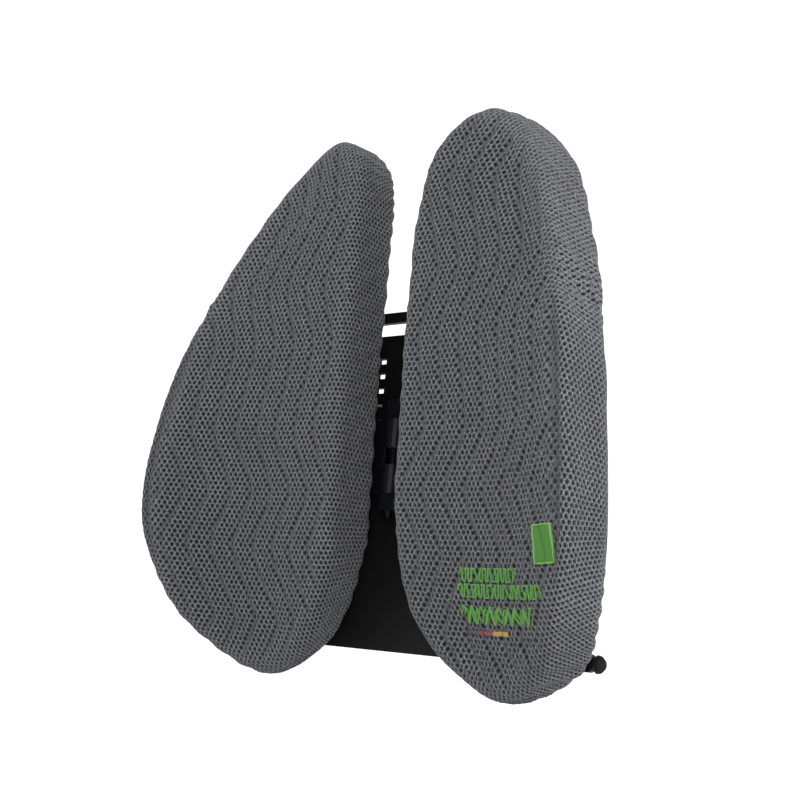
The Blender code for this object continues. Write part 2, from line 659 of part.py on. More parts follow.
def build_wing(side, sign):
    """One wing: arm with its knuckles, bushes, pad and screws. The hinge pin stays with the tower."""
    axis = axis_empty(f"{side}_wing_axis", sign * HINGE_X, HINGE_Y, 0)
    arm = piece(f"{side}_wing_arm", on_side(arm_shape(), sign), "arm_plastic", axis)
    for name, (low, high) in knuckle_spans().items():
        helper(arm, f"{name}_knuckle", on_side(prism(circle(HINGE_X, HINGE_Y, KNUCKLE_RADIUS), low, high, "Z"), sign),
               "UNION")
    for name, z in ARM_SCREW_Z.items():
        boss = prism(circle(ARM_SCREW_X, z, BOSS_RADIUS), board_back() + GAP, LAND_Y + ARM_STANDOFF + 2 * MM, "Y")
        helper(arm, f"{name}_boss", on_side(boss, sign), "UNION")
    helper(arm, "cuts", on_side(combined(arm_cuts()), sign), "DIFFERENCE")
    helper(arm, "spring_room", on_side(spring_room(), sign), "DIFFERENCE")
    for name, (low, high) in knuckle_spans().items():
        inner = PIN_RADIUS + RUNNING
        shape = tube(HINGE_X, HINGE_Y, inner, inner + BUSH_WALL, low, high)
        piece(f"{side}_{name}_bush", on_side(shape, sign), "acetal", axis, smooth=True)
    build_pad(side, sign, axis)


def board_back():
    """Y of the board's back, on its flat land."""
    return LAND_Y - COVER_WALL - LAYER_GAP


def arm_cuts():
    """Cutters for the bush bore and for the screw holes of an arm."""
    cutters = [prism(circle(HINGE_X, HINGE_Y, PIN_RADIUS + RUNNING + BUSH_WALL + GAP), TOWER_BOTTOM, TOWER_TOP, "Z")]
    for z in ARM_SCREW_Z.values():
        hole = circle(ARM_SCREW_X, z, SCREW_RADIUS + GAP)
        cutters.append(prism(hole, board_back() - MM, LAND_Y + 12 * MM, "Y"))
    return cutters


def spring_room():
    """The gap in the arm's inner edge where the return spring sits."""
    middle = (TOWER_TOP + TOWER_BOTTOM) / 2
    half = SPRING_HEIGHT / 2 + GAP
    reach = KNUCKLE_RADIUS + MM
    return box((HINGE_X - reach, HINGE_X + reach), (HINGE_Y - reach, HINGE_Y + reach), (middle - half, middle + half))


def build_pad(side, sign, axis):
    """The padded part of a wing: cover, foam, board, and the screws that hold it to the arm."""
    piece(f"{side}_mesh_cover", on_side(cover_shape(), sign), "air_mesh", axis, smooth=True)
    piece(f"{side}_foam_core", on_side(foam_shape(), sign), "foam", axis, smooth=True)
    board = piece(f"{side}_insert_board", on_side(board_shape(), sign), "board", axis)
    back = board_back()
    holes = [prism(circle(ARM_SCREW_X, z, SCREW_RADIUS + GAP), back - 6 * MM, back + MM, "Y")
             for z in ARM_SCREW_Z.values()]
    helper(board, "holes", on_side(combined(holes), sign), "DIFFERENCE")
    head_y = LAND_Y + ARM_STANDOFF + ARM_THICKNESS + GAP
    for name, z in ARM_SCREW_Z.items():
        shape = screw_along_y(ARM_SCREW_X, z, head_y, back - BOARD_THICKNESS + 0.2 * MM, SCREW_RADIUS,
                              SCREW_HEAD_RADIUS, SCREW_HEAD)
        piece(f"{side}_arm_screw_{name}", on_side(shape, sign), "steel", axis, smooth=True)


def build_hinge(side, sign, base):
    """The steel pin of a wing, its clip and its return spring."""
    top = TOWER_TOP + GAP
    bottom = TOWER_BOTTOM - GAP
    pin = [(0, top + PIN_HEAD), (PIN_RADIUS * 1.3, top + PIN_HEAD), (PIN_RADIUS * 1.6, top + PIN_HEAD * 0.6),
           (PIN_RADIUS * 1.6, top), (PIN_RADIUS, top), (PIN_RADIUS, bottom - PIN_TAIL + MM),
           (PIN_RADIUS * 0.7, bottom - PIN_TAIL), (0, bottom - PIN_TAIL)]
    points, faces = turned_about_y(pin, 0, 0)
    upright = [(HINGE_X + x, HINGE_Y - z, y) for x, y, z in points]
    piece(f"{side}_hinge_pin", on_side((upright, faces), sign), "steel", base, smooth=True)
    clip = tube(HINGE_X, HINGE_Y, PIN_RADIUS + 0.1 * MM, PIN_RADIUS + CLIP_WIDTH, bottom - CLIP_THICKNESS, bottom)
    piece(f"{side}_pin_clip", on_side(clip, sign), "steel", base, smooth=True)
    middle = (TOWER_TOP + TOWER_BOTTOM) / 2
    spring = coil(HINGE_X, HINGE_Y, middle - SPRING_HEIGHT / 2, middle + SPRING_HEIGHT / 2, SPRING_RADIUS,
                  SPRING_WIRE, SPRING_TURNS, 1)
    piece(f"{side}_return_spring", on_side(spring, sign), "steel", base, smooth=True)


def build_carriage():
    """The fixed carriage: slide plate, thick block, belt ears, finger pockets, and the grip."""
    outline = rounded([(-CARRIAGE_HALF_WIDTH, CARRIAGE_BOTTOM), (CARRIAGE_HALF_WIDTH, CARRIAGE_BOTTOM),
                       (CARRIAGE_HALF_WIDTH, CARRIAGE_TOP), (-CARRIAGE_HALF_WIDTH, CARRIAGE_TOP)], 3 * MM)
    carriage = piece("height_carriage", prism(outline, CARRIAGE_FRONT, SLIDE_BACK, "Y"), "black_plastic")
    block = rounded([(-BLOCK_HALF_WIDTH, BLOCK_BOTTOM), (BLOCK_HALF_WIDTH, BLOCK_BOTTOM),
                     (BLOCK_HALF_WIDTH, CARRIAGE_TOP - MM), (-BLOCK_HALF_WIDTH, CARRIAGE_TOP - MM)], 4 * MM)
    helper(carriage, "block", prism(block, SLIDE_BACK - MM, BLOCK_BACK, "Y"), "UNION")
    for side, sign in SIDE_SIGN.items():
        for name, low in belt_ears().items():
            ends = (BELT_BAR_X - BELT_EAR_HALF_WIDTH, BELT_BAR_X + BELT_EAR_HALF_WIDTH)
            ear = box(ends, (SLIDE_BACK - MM, BELT_Y + BELT_EAR_REACH), (low, low + BELT_EAR))
            helper(carriage, f"{side}_{name}_ear", on_side(ear, sign), "UNION")
        helper(carriage, f"{side}_cuts", on_side(combined(carriage_cuts()), sign), "DIFFERENCE")
        build_finger(side, sign)
        bar = prism(circle(BELT_BAR_X, BELT_Y, BELT_BAR_RADIUS, 12), belt_ears()["lower"],
                    belt_ears()["upper"] + BELT_EAR, "Z")
        piece(f"{side}_belt_bar", on_side(bar, sign), "steel", smooth=True)
        build_belt(side, sign)
    build_grip()
    build_ring()


def belt_ears():
    """The foot of the ear below the belt and of the ear above it."""
    half = BELT_WIDTH / 2 + GAP
    return {"lower": BELT_Z - half - BELT_EAR, "upper": BELT_Z + half}


def finger_middle():
    """X of an index finger: the middle of its window."""
    return WINDOW_INNER + WINDOW_WIDTH / 2


def carriage_cuts():
    """Cutters for one side of the carriage: the belt bar's bore and the pocket of the index finger."""
    ears = belt_ears()
    bore = prism(circle(BELT_BAR_X, BELT_Y, BELT_BAR_RADIUS + GAP, 12), ears["lower"] - MM,
                 ears["upper"] + BELT_EAR + MM, "Z")
    half = FINGER_WIDTH / 2 + GAP
    low = finger_foot() - GAP
    pocket = box((finger_middle() - half, finger_middle() + half), (CARRIAGE_FRONT - MM, BLOCK_BACK + MM),
                 (low, low + FINGER_LENGTH + 2 * GAP))
    return [bore, pocket]


def finger_foot():
    """The lower end of an index finger."""
    return WINDOW_REST_Z + WINDOW_HEIGHT / 2 + 0.6 * MM - FINGER_LENGTH


def build_finger(side, sign):
    """A springy index finger in the carriage, whose nub clicks into a window of the ladder."""
    x, half = finger_middle(), FINGER_WIDTH / 2
    foot, top = finger_foot(), finger_foot() + FINGER_LENGTH
    leaf_front = CARRIAGE_FRONT + 1.5 * MM
    leaf_back = leaf_front + FINGER_THICKNESS
    nub = WINDOW_HEIGHT / 2 - 2 * GAP
    profile = [(leaf_back, foot), (leaf_back, top), (leaf_front, top), (leaf_front, WINDOW_REST_Z + nub),
               (PLATE_FRONT + MM, WINDOW_REST_Z + nub * 0.7), (PLATE_FRONT + MM, WINDOW_REST_Z - nub * 0.7),
               (leaf_front, WINDOW_REST_Z - nub), (leaf_front, foot)]
    shape = prism(profile, x - half, x + half, "X")
    piece(f"{side}_index_finger", on_side(shape, sign), "grey_plastic")


def build_grip():
    """The rubber grip that rests on the chair, with its back face through the origin."""
    outline = rounded([(-GRIP_HALF_WIDTH, -GRIP_HALF_HEIGHT), (GRIP_HALF_WIDTH, -GRIP_HALF_HEIGHT),
                       (GRIP_HALF_WIDTH, GRIP_HALF_HEIGHT), (-GRIP_HALF_WIDTH, GRIP_HALF_HEIGHT)], 6 * MM)
    piece("grip_pad", prism(outline, BLOCK_BACK + GAP, 0, "Y"), "rubber")


def build_belt(side, sign):
    """Half of the belt: a webbing strip with an eye round the carriage's bar and one round the ring."""
    eye = BELT_BAR_RADIUS + GAP + BELT_HALF_THICKNESS
    start = math.asin(BELT_HALF_THICKNESS / eye)
    outline = []
    for x, turn in ((BELT_BAR_X, 0.0), (RING_BAR_X, math.pi)):
        for step in range(13):
            angle = turn - (math.pi - start) + 2 * (math.pi - start) * step / 12
            outline.append((x + eye * math.cos(angle), BELT_Y + eye * math.sin(angle)))
    low, high = BELT_Z - BELT_WIDTH / 2, BELT_Z + BELT_WIDTH / 2
    belt = piece(f"{side}_belt", on_side(prism(outline, low, high, "Z"), sign), "webbing")
    bores = [prism(circle(x, BELT_Y, BELT_BAR_RADIUS + GAP, 12), low - MM, high + MM, "Z")
             for x in (BELT_BAR_X, RING_BAR_X)]
    helper(belt, "eyes", on_side(combined(bores), sign), "DIFFERENCE")


def build_ring():
    """The rectangular wire ring that joins the two halves of the belt."""
    half = BELT_WIDTH / 2 + GAP + BELT_BAR_RADIUS
    corner, sides = 2.0 * MM, 12
    path = rounded([(-RING_BAR_X, BELT_Z - half), (RING_BAR_X, BELT_Z - half), (RING_BAR_X, BELT_Z + half),
                    (-RING_BAR_X, BELT_Z + half)], corner, steps=2)
    count = len(path)
    points = []
    for i in range(count):
        before, here, after = (Vector(path[(i + k) % count]) for k in (-1, 0, 1))
        first, second = (here - before).normalized(), (after - here).normalized()
        along = (first + second).normalized()
        outward = Vector((along.y, -along.x))
        stretch = 1 / max(0.5, along.dot(first))
        for k in range(sides):
            t = 2 * math.pi * k / sides
            spot = here + outward * BELT_BAR_RADIUS * math.cos(t) * stretch
            points.append((spot.x, BELT_Y + BELT_BAR_RADIUS * math.sin(t), spot.y))
    piece("belt_ring", (points, loop_faces(count, sides)), "steel", smooth=True)


def build_label():
    """The small woven label near the foot of the right pad, laid on its cover."""
    fronts, backs = [], []
    for u in np.linspace(LABEL_U - LABEL_HALF_WIDTH, LABEL_U + LABEL_HALF_WIDTH, 4):
        column = np.linspace(LABEL_V - LABEL_HALF_HEIGHT, LABEL_V + LABEL_HALF_HEIGHT, 5)
        fronts.append([pad_point(u, v, from_front=-face_swell(u, v) - GAP - LABEL_THICKNESS) for v in column])
        backs.append([pad_point(u, v, from_front=-face_swell(u, v) - GAP) for v in column])
    return slab_shape(fronts, backs)


def face_swell(u, v):
    """How far the crowned face stands in front of the sheet at (u, v)."""
    middle = pad_outline(0).mean(axis=0)
    rim = pad_outline(FRONT_RIM) - middle
    here = np.array([u, v]) - middle
    angles = np.arctan2(rim[:, 1], rim[:, 0])
    order = np.argsort(angles)
    reach = np.interp(math.atan2(here[1], here[0]), angles[order], np.linalg.norm(rim, axis=1)[order])
    share = min(1.0, float(np.linalg.norm(here)) / reach)
    return PAD_CROWN * (1 - share**2)


def main():
    clear_scene()
    base = axis_empty("height_axis", 0, PLATE_BACK, 0)
    build_base(base)
    build_tower(base)
    build_rails(base)
    for side, sign in SIDE_SIGN.items():
        build_wing(side, sign)
        build_hinge(side, sign, base)
    wing = bpy.data.objects["right_wing_axis"]
    piece("woven_label", build_label(), "label_cloth", wing)
    build_carriage()


main()
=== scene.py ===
"""Looks of a two-wing lumbar support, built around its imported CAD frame.

Each padded wing is a sewn cover of knitted air mesh: one sheet of six-sided cells is laid over the
face, round the rim and down the side, swollen by a cloth simulation and quilted with zigzag
channels. The hinges, the base, the carriage and the belt keep their CAD solids and get their finish
here, and the soft CAD solids are replaced by detailed pieces.
"""

from __future__ import annotations

import json
import logging
import math
from dataclasses import dataclass, field
from enum import Enum
from typing import Callable

import bpy
import numpy as np
from mathutils import Matrix, Vector


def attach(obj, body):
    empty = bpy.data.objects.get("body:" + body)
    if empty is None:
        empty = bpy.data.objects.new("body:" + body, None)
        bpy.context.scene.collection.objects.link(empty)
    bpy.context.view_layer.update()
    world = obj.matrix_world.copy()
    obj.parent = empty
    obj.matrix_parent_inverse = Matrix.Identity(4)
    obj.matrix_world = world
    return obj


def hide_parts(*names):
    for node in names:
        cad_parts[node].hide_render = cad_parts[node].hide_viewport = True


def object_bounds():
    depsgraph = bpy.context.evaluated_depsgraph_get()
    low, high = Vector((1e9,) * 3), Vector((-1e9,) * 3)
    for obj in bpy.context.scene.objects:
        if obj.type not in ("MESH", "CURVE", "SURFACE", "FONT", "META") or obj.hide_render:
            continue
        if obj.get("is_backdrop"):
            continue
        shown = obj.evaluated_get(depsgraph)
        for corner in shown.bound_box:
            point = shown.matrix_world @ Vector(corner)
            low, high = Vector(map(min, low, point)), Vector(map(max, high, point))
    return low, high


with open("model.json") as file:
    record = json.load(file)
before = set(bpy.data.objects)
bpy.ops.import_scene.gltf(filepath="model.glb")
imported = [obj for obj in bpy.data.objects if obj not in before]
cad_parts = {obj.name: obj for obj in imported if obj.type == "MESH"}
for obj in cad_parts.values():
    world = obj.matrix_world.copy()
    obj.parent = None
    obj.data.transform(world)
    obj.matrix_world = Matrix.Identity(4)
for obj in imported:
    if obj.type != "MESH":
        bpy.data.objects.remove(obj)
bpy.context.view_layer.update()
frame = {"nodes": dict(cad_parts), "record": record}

LOG = logging.getLogger("lumbar_support")
MM = 0.001
TO_FRONT = np.array([0.0, -1.0, 0.0])
Array = np.ndarray
Colour = tuple[float, float, float]


def scaled(colour: Colour, share: float, lift: float = 0.0) -> Colour:
    """A colour made paler or darker: each part times share, plus lift, and at most 1."""
    return tuple(min(1.0, share * part + lift) for part in colour)


class Side(Enum):
    """Which wing a piece belongs to, with the sign of its X."""

    LEFT = -1
    RIGHT = 1

    @property
    def label(self) -> str:
        """The word that the CAD names start with."""
        return self.name.lower()


# ---------------------------------------------------------------- numbers on arrays
def smooth_step(value: Array, low: float, high: float) -> Array:
    """Rises from 0 to 1 between low and high with level ends: 3t^2 - 2t^3.

    Args:
        value: Where to read the step.
        low: The step is 0 up to here.
        high: The step is 1 from here on.

    Returns:
        One share for each value.
    """
    t = np.clip((value - low) / (high - low), 0.0, 1.0)
    return t * t * (3.0 - 2.0 * t)


def ripple(x: Array, y: Array, seed: int, scale: float, waves: int = 9) -> Array:
    """Soft unevenness: the mean of plane sine waves in random directions, from -1 to 1.

    Args:
        x: First coordinate, in metres.
        y: Second coordinate, in metres.
        seed: Which set of waves.
        scale: The middle wavelength, in metres.
        waves: How many waves are added.

    Returns:
        The height at each point.
    """
    rng = np.random.default_rng(seed)
    angle = rng.uniform(0, 2 * np.pi, waves)
    number = 2 * np.pi / (scale * rng.uniform(0.6, 1.7, waves))
    phase = rng.uniform(0, 2 * np.pi, waves)
    total = np.zeros_like(x)
    for a, k, p in zip(angle, number, phase):
        total += np.sin(k * (x * math.cos(a) + y * math.sin(a)) + p)
    return total / math.sqrt(waves * 2)


def normals_of(surface: Callable[[Array, Array], Array], p: Array, q: Array) -> tuple[Array, Array]:
    """Places on a surface and its outward normals, from two short steps along it.

    Args:
        surface: Gives an array of points for two arrays of coordinates.
        p: First coordinate.
        q: Second coordinate.

    Returns:
        The points and the unit normals, both of shape (n, 3).
    """
    step = 0.4 * MM
    here = surface(p, q)
    normal = np.cross(surface(p + step, q) - here, surface(p, q + step) - here)
    return here, normal / (np.linalg.norm(normal, axis=1)[:, None] + 1e-15)


# ---------------------------------------------------------------- meshes
def make_mesh(name: str, points: Array, faces: Array | list, uv: Array | None = None,
              shades: dict[str, Array] | None = None) -> bpy.types.Object:
    """A smooth object at the origin whose place is in its mesh.

    Args:
        name: The piece's name.
        points: Corner places of shape (n, 3), in metres.
        faces: Corner numbers, as an array with one row for each face, or as a list of such arrays.
        uv: A flat place for each corner point, or None.
        shades: Named numbers for the corner points, for the finish to read.

    Returns:
        The linked object.
    """
    groups = [faces] if isinstance(faces, np.ndarray) else list(faces)
    corners = np.concatenate([g.ravel() for g in groups]).astype(np.int32)
    sizes = np.concatenate([np.full(len(g), g.shape[1]) for g in groups]).astype(np.int32)
    mesh = bpy.data.meshes.new(name)
    mesh.vertices.add(len(points))
    mesh.vertices.foreach_set("co", np.asarray(points, np.float32).ravel())
    mesh.loops.add(len(corners))
    mesh.loops.foreach_set("vertex_index", corners)
    mesh.polygons.add(len(sizes))
    starts = np.concatenate([[0], np.cumsum(sizes)[:-1]]).astype(np.int32)
    mesh.polygons.foreach_set("loop_start", starts)
    mesh.update(calc_edges=True)
    mesh.polygons.foreach_set("use_smooth", np.ones(len(sizes), bool))
    if uv is not None:
        layer = mesh.uv_layers.new(name="UVMap")
        layer.data.foreach_set("uv", np.asarray(uv, np.float32)[corners].ravel())
    for key, values in (shades or {}).items():
        attribute = mesh.attributes.new(key, "FLOAT", "POINT")
        attribute.data.foreach_set("value", np.asarray(values, np.float32))
    mesh.validate()
    obj = bpy.data.objects.new(name, mesh)
    bpy.context.scene.collection.objects.link(obj)
    return obj


def grid_faces(rows: int, columns: int, round_rows: bool = False,
               round_columns: bool = False) -> Array:
    """Four-sided faces over a grid of points stored row by row.

    Args:
        rows: How many rows of points.
        columns: How many points in a row.
        round_rows: Whether the last row joins the first.
        round_columns: Whether each row closes on itself.

    Returns:
        Corner numbers of shape (n, 4).
    """
    r = np.arange(rows if round_rows else rows - 1)[:, None]
    c = np.arange(columns if round_columns else columns - 1)[None, :]
    r2, c2 = (r + 1) % rows, (c + 1) % columns
    r, r2 = r * columns, r2 * columns
    return np.stack(np.broadcast_arrays(r + c, r + c2, r2 + c2, r2 + c), -1).reshape(-1, 4)


def swept_tube(path: Array, radius: float, sides: int, closed: bool = False) -> tuple[Array, list, Array]:
    """A round section carried along a path that never runs fore and aft.

    The section's first axis is the direction to the front, less its part along the path.

    Args:
        path: Points of the middle line, of shape (n, 3).
        radius: The section's radius.
        sides: Points round the section.
        closed: Whether the path joins up with itself.

    Returns:
        Points, faces and a flat place for each point: length along the path, and turns round it.
    """
    count = len(path)
    ahead = np.roll(path, -1, 0) - np.roll(path, 1, 0) if closed else np.gradient(path, axis=0)
    ahead /= np.linalg.norm(ahead, axis=1)[:, None]
    up = TO_FRONT - ahead * (ahead @ TO_FRONT)[:, None]
    up /= np.linalg.norm(up, axis=1)[:, None]
    across = np.cross(ahead, up)
    turn = np.linspace(0, 2 * np.pi, sides, endpoint=False)
    section = (up[:, None] * np.cos(turn)[None, :, None]
               + across[:, None] * np.sin(turn)[None, :, None])
    points = path[:, None] + radius * section
    length = np.concatenate([[0], np.cumsum(np.linalg.norm(np.diff(path, axis=0), axis=1))])
    uv = np.stack(np.broadcast_arrays(length[:, None], turn[None, :] / (2 * np.pi)), -1)
    faces = [grid_faces(count, sides, closed, True)[:, ::-1]]
    if not closed:
        ends = np.arange(sides)
        faces += [ends[None, :], (ends + (count - 1) * sides)[None, ::-1]]
    return points.reshape(-1, 3), faces, uv.reshape(-1, 2)


# ---------------------------------------------------------------- finishes
class Nodes:
    """A short way to write a node tree."""

    def __init__(self, name: str) -> None:
        """Starts a material with a Principled shader.

        Args:
            name: The material's name.
        """
        self.material = bpy.data.materials.new(name)
        self.material.use_nodes = True
        self.tree = self.material.node_tree
        self.shader = self.tree.nodes["Principled BSDF"]

    def add(self, kind: str, inputs: dict | None = None, **settings: object) -> bpy.types.Node:
        """One node.

        Args:
            kind: The node's type, without its common first part.
            inputs: A value or an output for each named or numbered input.
            **settings: The node's own options.

        Returns:
            The node.
        """
        node = self.tree.nodes.new("ShaderNode" + kind)
        for key, value in settings.items():
            setattr(node, key, value)
        for key, value in (inputs or {}).items():
            self.feed(node.inputs[key], value)
        return node

    def feed(self, socket: bpy.types.NodeSocket, value: object) -> None:
        """Sets an input, or links an output to it."""
        if isinstance(value, bpy.types.NodeSocket):
            self.tree.links.new(value, socket)
        else:
            socket.default_value = value

    def math(self, operation: str, a: object, b: object = 0.0,
             c: object = 0.0) -> bpy.types.NodeSocket:
        """The result of one Math node."""
        return self.add("Math", {0: a, 1: b, 2: c}, operation=operation).outputs[0]

    def mix(self, share: object, first: object, second: object) -> bpy.types.NodeSocket:
        """A colour between two, by share."""
        node = self.add("Mix", data_type="RGBA")
        self.feed(node.inputs["Factor"], share)
        self.feed(node.inputs[6], (*first, 1) if isinstance(first, tuple) else first)
        self.feed(node.inputs[7], (*second, 1) if isinstance(second, tuple) else second)
        return node.outputs[2]

    def noise(self, place: object, scale: float, detail: float = 2.0,
              stretch: Colour = (1, 1, 1)) -> bpy.types.NodeSocket:
        """A noise, from 0 to 1, with its place stretched first."""
        moved = self.add("Mapping", {"Vector": place, "Scale": stretch}).outputs[0]
        return self.add("TexNoise", {"Vector": moved, "Scale": scale, "Detail": detail}).outputs["Fac"]

    def stretched(self, value: object, low: float, high: float) -> bpy.types.NodeSocket:
        """A value stretched so that low becomes 0 and high becomes 1."""
        return self.add("MapRange", {0: value, 1: low, 2: high}).outputs[0]

    def place(self) -> bpy.types.NodeSocket:
        """The object's own coordinates."""
        return self.add("TexCoord").outputs["Object"]

    def uv(self) -> bpy.types.NodeSocket:
        """The piece's flat coordinates."""
        return self.add("UVMap").outputs[0]

    def relief(self, height: object, depth: float, normal: object = None) -> bpy.types.NodeSocket:
        """A normal bent by a height from 0 to 1 that stands for that depth in metres."""
        inputs = {"Height": height, "Strength": 1.0, "Distance": depth}
        if normal is not None:
            inputs["Normal"] = normal
        return self.add("Bump", inputs).outputs[0]

    def threads(self, pitch: float) -> tuple[bpy.types.Node, float]:
        """The flat coordinates split up, and the phase per metre of threads of that pitch."""
        return self.add("SeparateXYZ", {0: self.uv()}), 2 * math.pi / pitch

    def set(self, **values: object) -> None:
        """Sets inputs of the shader, with underscores for spaces."""
        for key, value in values.items():
            value = (*value, 1) if isinstance(value, tuple) and len(value) == 3 else value
            self.feed(self.shader.inputs[key.replace("_", " ")], value)


@dataclass(frozen=True)
class AirMeshFinish:
    """Knitted spacer cloth: ribs of twisted yarn over holes, with painted highlights on the yarn and painted
    shade in the holes and channels.
    """

    name: str = "air_mesh_knit"
    rib: Colour = (0.062, 0.063, 0.073)
    # painted highlight: the pale colour put on the crowns of the yarn's fibres
    rib_highlight: Colour = (0.420, 0.426, 0.460)
    # painted shade: the near-black colour of the hole walls and floors, which stands in for the shade inside
    # the holes
    hole: Colour = (0.0062, 0.0064, 0.0075)
    yarn_pitch: float = 0.42 * MM
    highlight_range: tuple[float, float] = (0.42, 0.68)  # fibre noise where the painted yarn highlight starts and fills
    tint_share: float = 0.28
    # share of painted shade in the quilted channels and along the crease
    channel_shade: float = 0.55

    def build(self) -> bpy.types.Material:
        """The material: ribs and holes from the cell attribute, fibres from the flat coordinates."""
        n = Nodes(self.name)
        hole = n.add("Attribute", attribute_name="hole").outputs["Fac"]
        sunk = n.add("Attribute", attribute_name="sunk").outputs["Fac"]
        place = n.place()
        fibres = n.noise(place, 1 / (1.1 * self.yarn_pitch), 3.0, (1.0, 1.0, 0.45))
        patches = n.noise(place, 26.0, 2.0)
        # painted highlight: the yarn is mixed towards its pale colour where the fibre noise is high
        yarn = n.mix(n.stretched(fibres, *self.highlight_range), self.rib, self.rib_highlight)
        tinted = n.mix(n.math("MULTIPLY", patches, self.tint_share), yarn, scaled(self.rib, 0.72))
        # painted shade: the colour is darkened in the quilted channels and along the crease, by the sunk
        # attribute
        shaded = n.mix(n.math("MULTIPLY", sunk, self.channel_shade), tinted, scaled(self.rib, 0.45))
        # painted shade: the hole walls and floors take the near-black hole colour
        n.set(Base_Color=n.mix(hole, shaded, self.hole), Roughness=0.82)
        n.set(Normal=n.relief(fibres, 0.16 * MM), Sheen_Weight=0.12, Sheen_Roughness=0.45)
        n.shader.inputs["Specular IOR Level"].default_value = 0.32
        return n.material


@dataclass(frozen=True)
class ClothFinish:
    """Plain woven or knitted cloth with crossing threads."""

    name: str
    colour: Colour
    pitch: float = 0.9 * MM
    depth: float = 0.22 * MM
    roughness: float = 0.85
    sheen: float = 0.1

    def build(self) -> bpy.types.Material:
        """The material: two sets of threads that pass over each other, on the flat coordinates."""
        n = Nodes(self.name)
        uv, turns = n.threads(self.pitch)
        warp = n.math("SINE", n.math("MULTIPLY", uv.outputs[0], turns))
        weft = n.math("SINE", n.math("MULTIPLY", uv.outputs[1], turns))
        height = n.math("MULTIPLY_ADD", n.math("MULTIPLY", warp, weft), 0.5, 0.5)
        fuzz = n.noise(n.place(), 1800.0, 3.0)
        patches = n.noise(n.place(), 40.0, 2.0)
        # painted shade and painted highlight: the weave's raised crossings are painted paler and its hollows
        # darker
        pale, dark = scaled(self.colour, 1.55, 0.004), scaled(self.colour, 0.5)
        base = n.mix(n.math("MULTIPLY", height, n.math("MULTIPLY_ADD", fuzz, 0.6, 0.5)), dark, pale)
        n.set(Base_Color=n.mix(n.math("MULTIPLY", patches, 0.3), base, self.colour))
        n.set(Roughness=self.roughness)
        n.set(Normal=n.relief(fuzz, 0.08 * MM, n.relief(height, self.depth)))
        n.set(Sheen_Weight=self.sheen)
        return n.material


@dataclass(frozen=True)
class PlasticFinish:
    """Moulded plastic with a fine etched skin, flow clouds and lightly rubbed edges."""

    name: str
    colour: Colour
    roughness: float
    grain: float = 0.00035
    grain_depth: float = 0.03 * MM
    rubbed: float = 0.25
    specular: float = 0.5
    edge_range: tuple[float, float] = (0.52, 0.62)  # pointiness where rubbing starts and is full
    edge_radius: float = 0.5 * MM

    def build(self) -> bpy.types.Material:
        """The material, on the object's own coordinates."""
        n = Nodes(self.name)
        place = n.place()
        etched = n.noise(place, 1 / self.grain, 2.0)
        clouds = n.noise(place, 18.0, 3.0)
        dust = n.noise(place, 260.0, 4.0)
        edge = n.add("NewGeometry").outputs["Pointiness"]
        worn = n.math("MULTIPLY", n.stretched(edge, *self.edge_range), self.rubbed)
        base = n.mix(n.math("MULTIPLY", clouds, 0.35), self.colour, scaled(self.colour, 0.7))
        n.set(Base_Color=n.mix(worn, base, scaled(self.colour, 2.4, 0.01)))
        rough = n.math("MULTIPLY_ADD", clouds, 0.12, self.roughness - 0.06)
        n.set(Roughness=n.math("MULTIPLY_ADD", dust, 0.1, rough))
        rounded = n.add("Bevel", {"Radius": self.edge_radius}, samples=4).outputs[0]
        n.set(Normal=n.relief(etched, self.grain_depth, rounded))
        n.shader.inputs["Specular IOR Level"].default_value = self.specular
        return n.material


@dataclass(frozen=True)
class MetalFinish:
    """Steel with turned marks and a thin chemical finish."""

    name: str
    colour: Colour
    roughness: float
    edge_radius: float = 0.25 * MM

    def build(self) -> bpy.types.Material:
        """The material, on the object's own coordinates."""
        n = Nodes(self.name)
        place = n.place()
        marks = n.noise(place, 1500.0, 2.0, (1.0, 1.0, 0.15))
        stains = n.noise(place, 90.0, 3.0)
        n.set(Base_Color=n.mix(stains, self.colour, scaled(self.colour, 0.6)), Metallic=1.0)
        n.set(Roughness=n.math("MULTIPLY_ADD", marks, 0.25, self.roughness - 0.1))
        rounded = n.add("Bevel", {"Radius": self.edge_radius}, samples=4).outputs[0]
        n.set(Normal=n.relief(marks, 0.02 * MM, rounded))
        return n.material


@dataclass(frozen=True)
class StitchFinish:
    """Shiny embroidery thread laid side by side, on the flat coordinates."""

    name: str
    colour: Colour
    pitch: float = 0.4 * MM

    def build(self) -> bpy.types.Material:
        """The material: parallel threads with a slant twist."""
        n = Nodes(self.name)
        uv, turns = n.threads(self.pitch)
        slant = n.math("MULTIPLY_ADD", uv.outputs[1], 0.35, uv.outputs[0])
        wave = n.math("SINE", n.math("MULTIPLY", slant, turns))
        thread = n.math("MULTIPLY_ADD", wave, 0.5, 0.5)
        fuzz = n.noise(n.place(), 2500.0, 2.0)
        # painted shade: the gaps between the threads are painted darker
        base = n.mix(n.math("MULTIPLY", thread, 0.8), scaled(self.colour, 0.4), self.colour)
        n.set(Base_Color=n.mix(n.math("MULTIPLY", fuzz, 0.35), base, scaled(self.colour, 1.3)))
        n.set(Roughness=0.5, Normal=n.relief(thread, 0.15 * MM), Sheen_Weight=0.2)
        return n.material


@dataclass(frozen=True)
class StudioFinish:
    """Matt pale floor, lit through from behind."""

    name: str = "studio_floor"
    colour: Colour = (0.90, 0.90, 0.90)
    glow: float = 0.72

    def build(self) -> bpy.types.Material:
        """The material."""
        n = Nodes(self.name)
        n.set(Base_Color=self.colour, Roughness=0.9)
        n.set(Emission_Color=(1.0, 1.0, 1.0), Emission_Strength=self.glow)
        return n.material


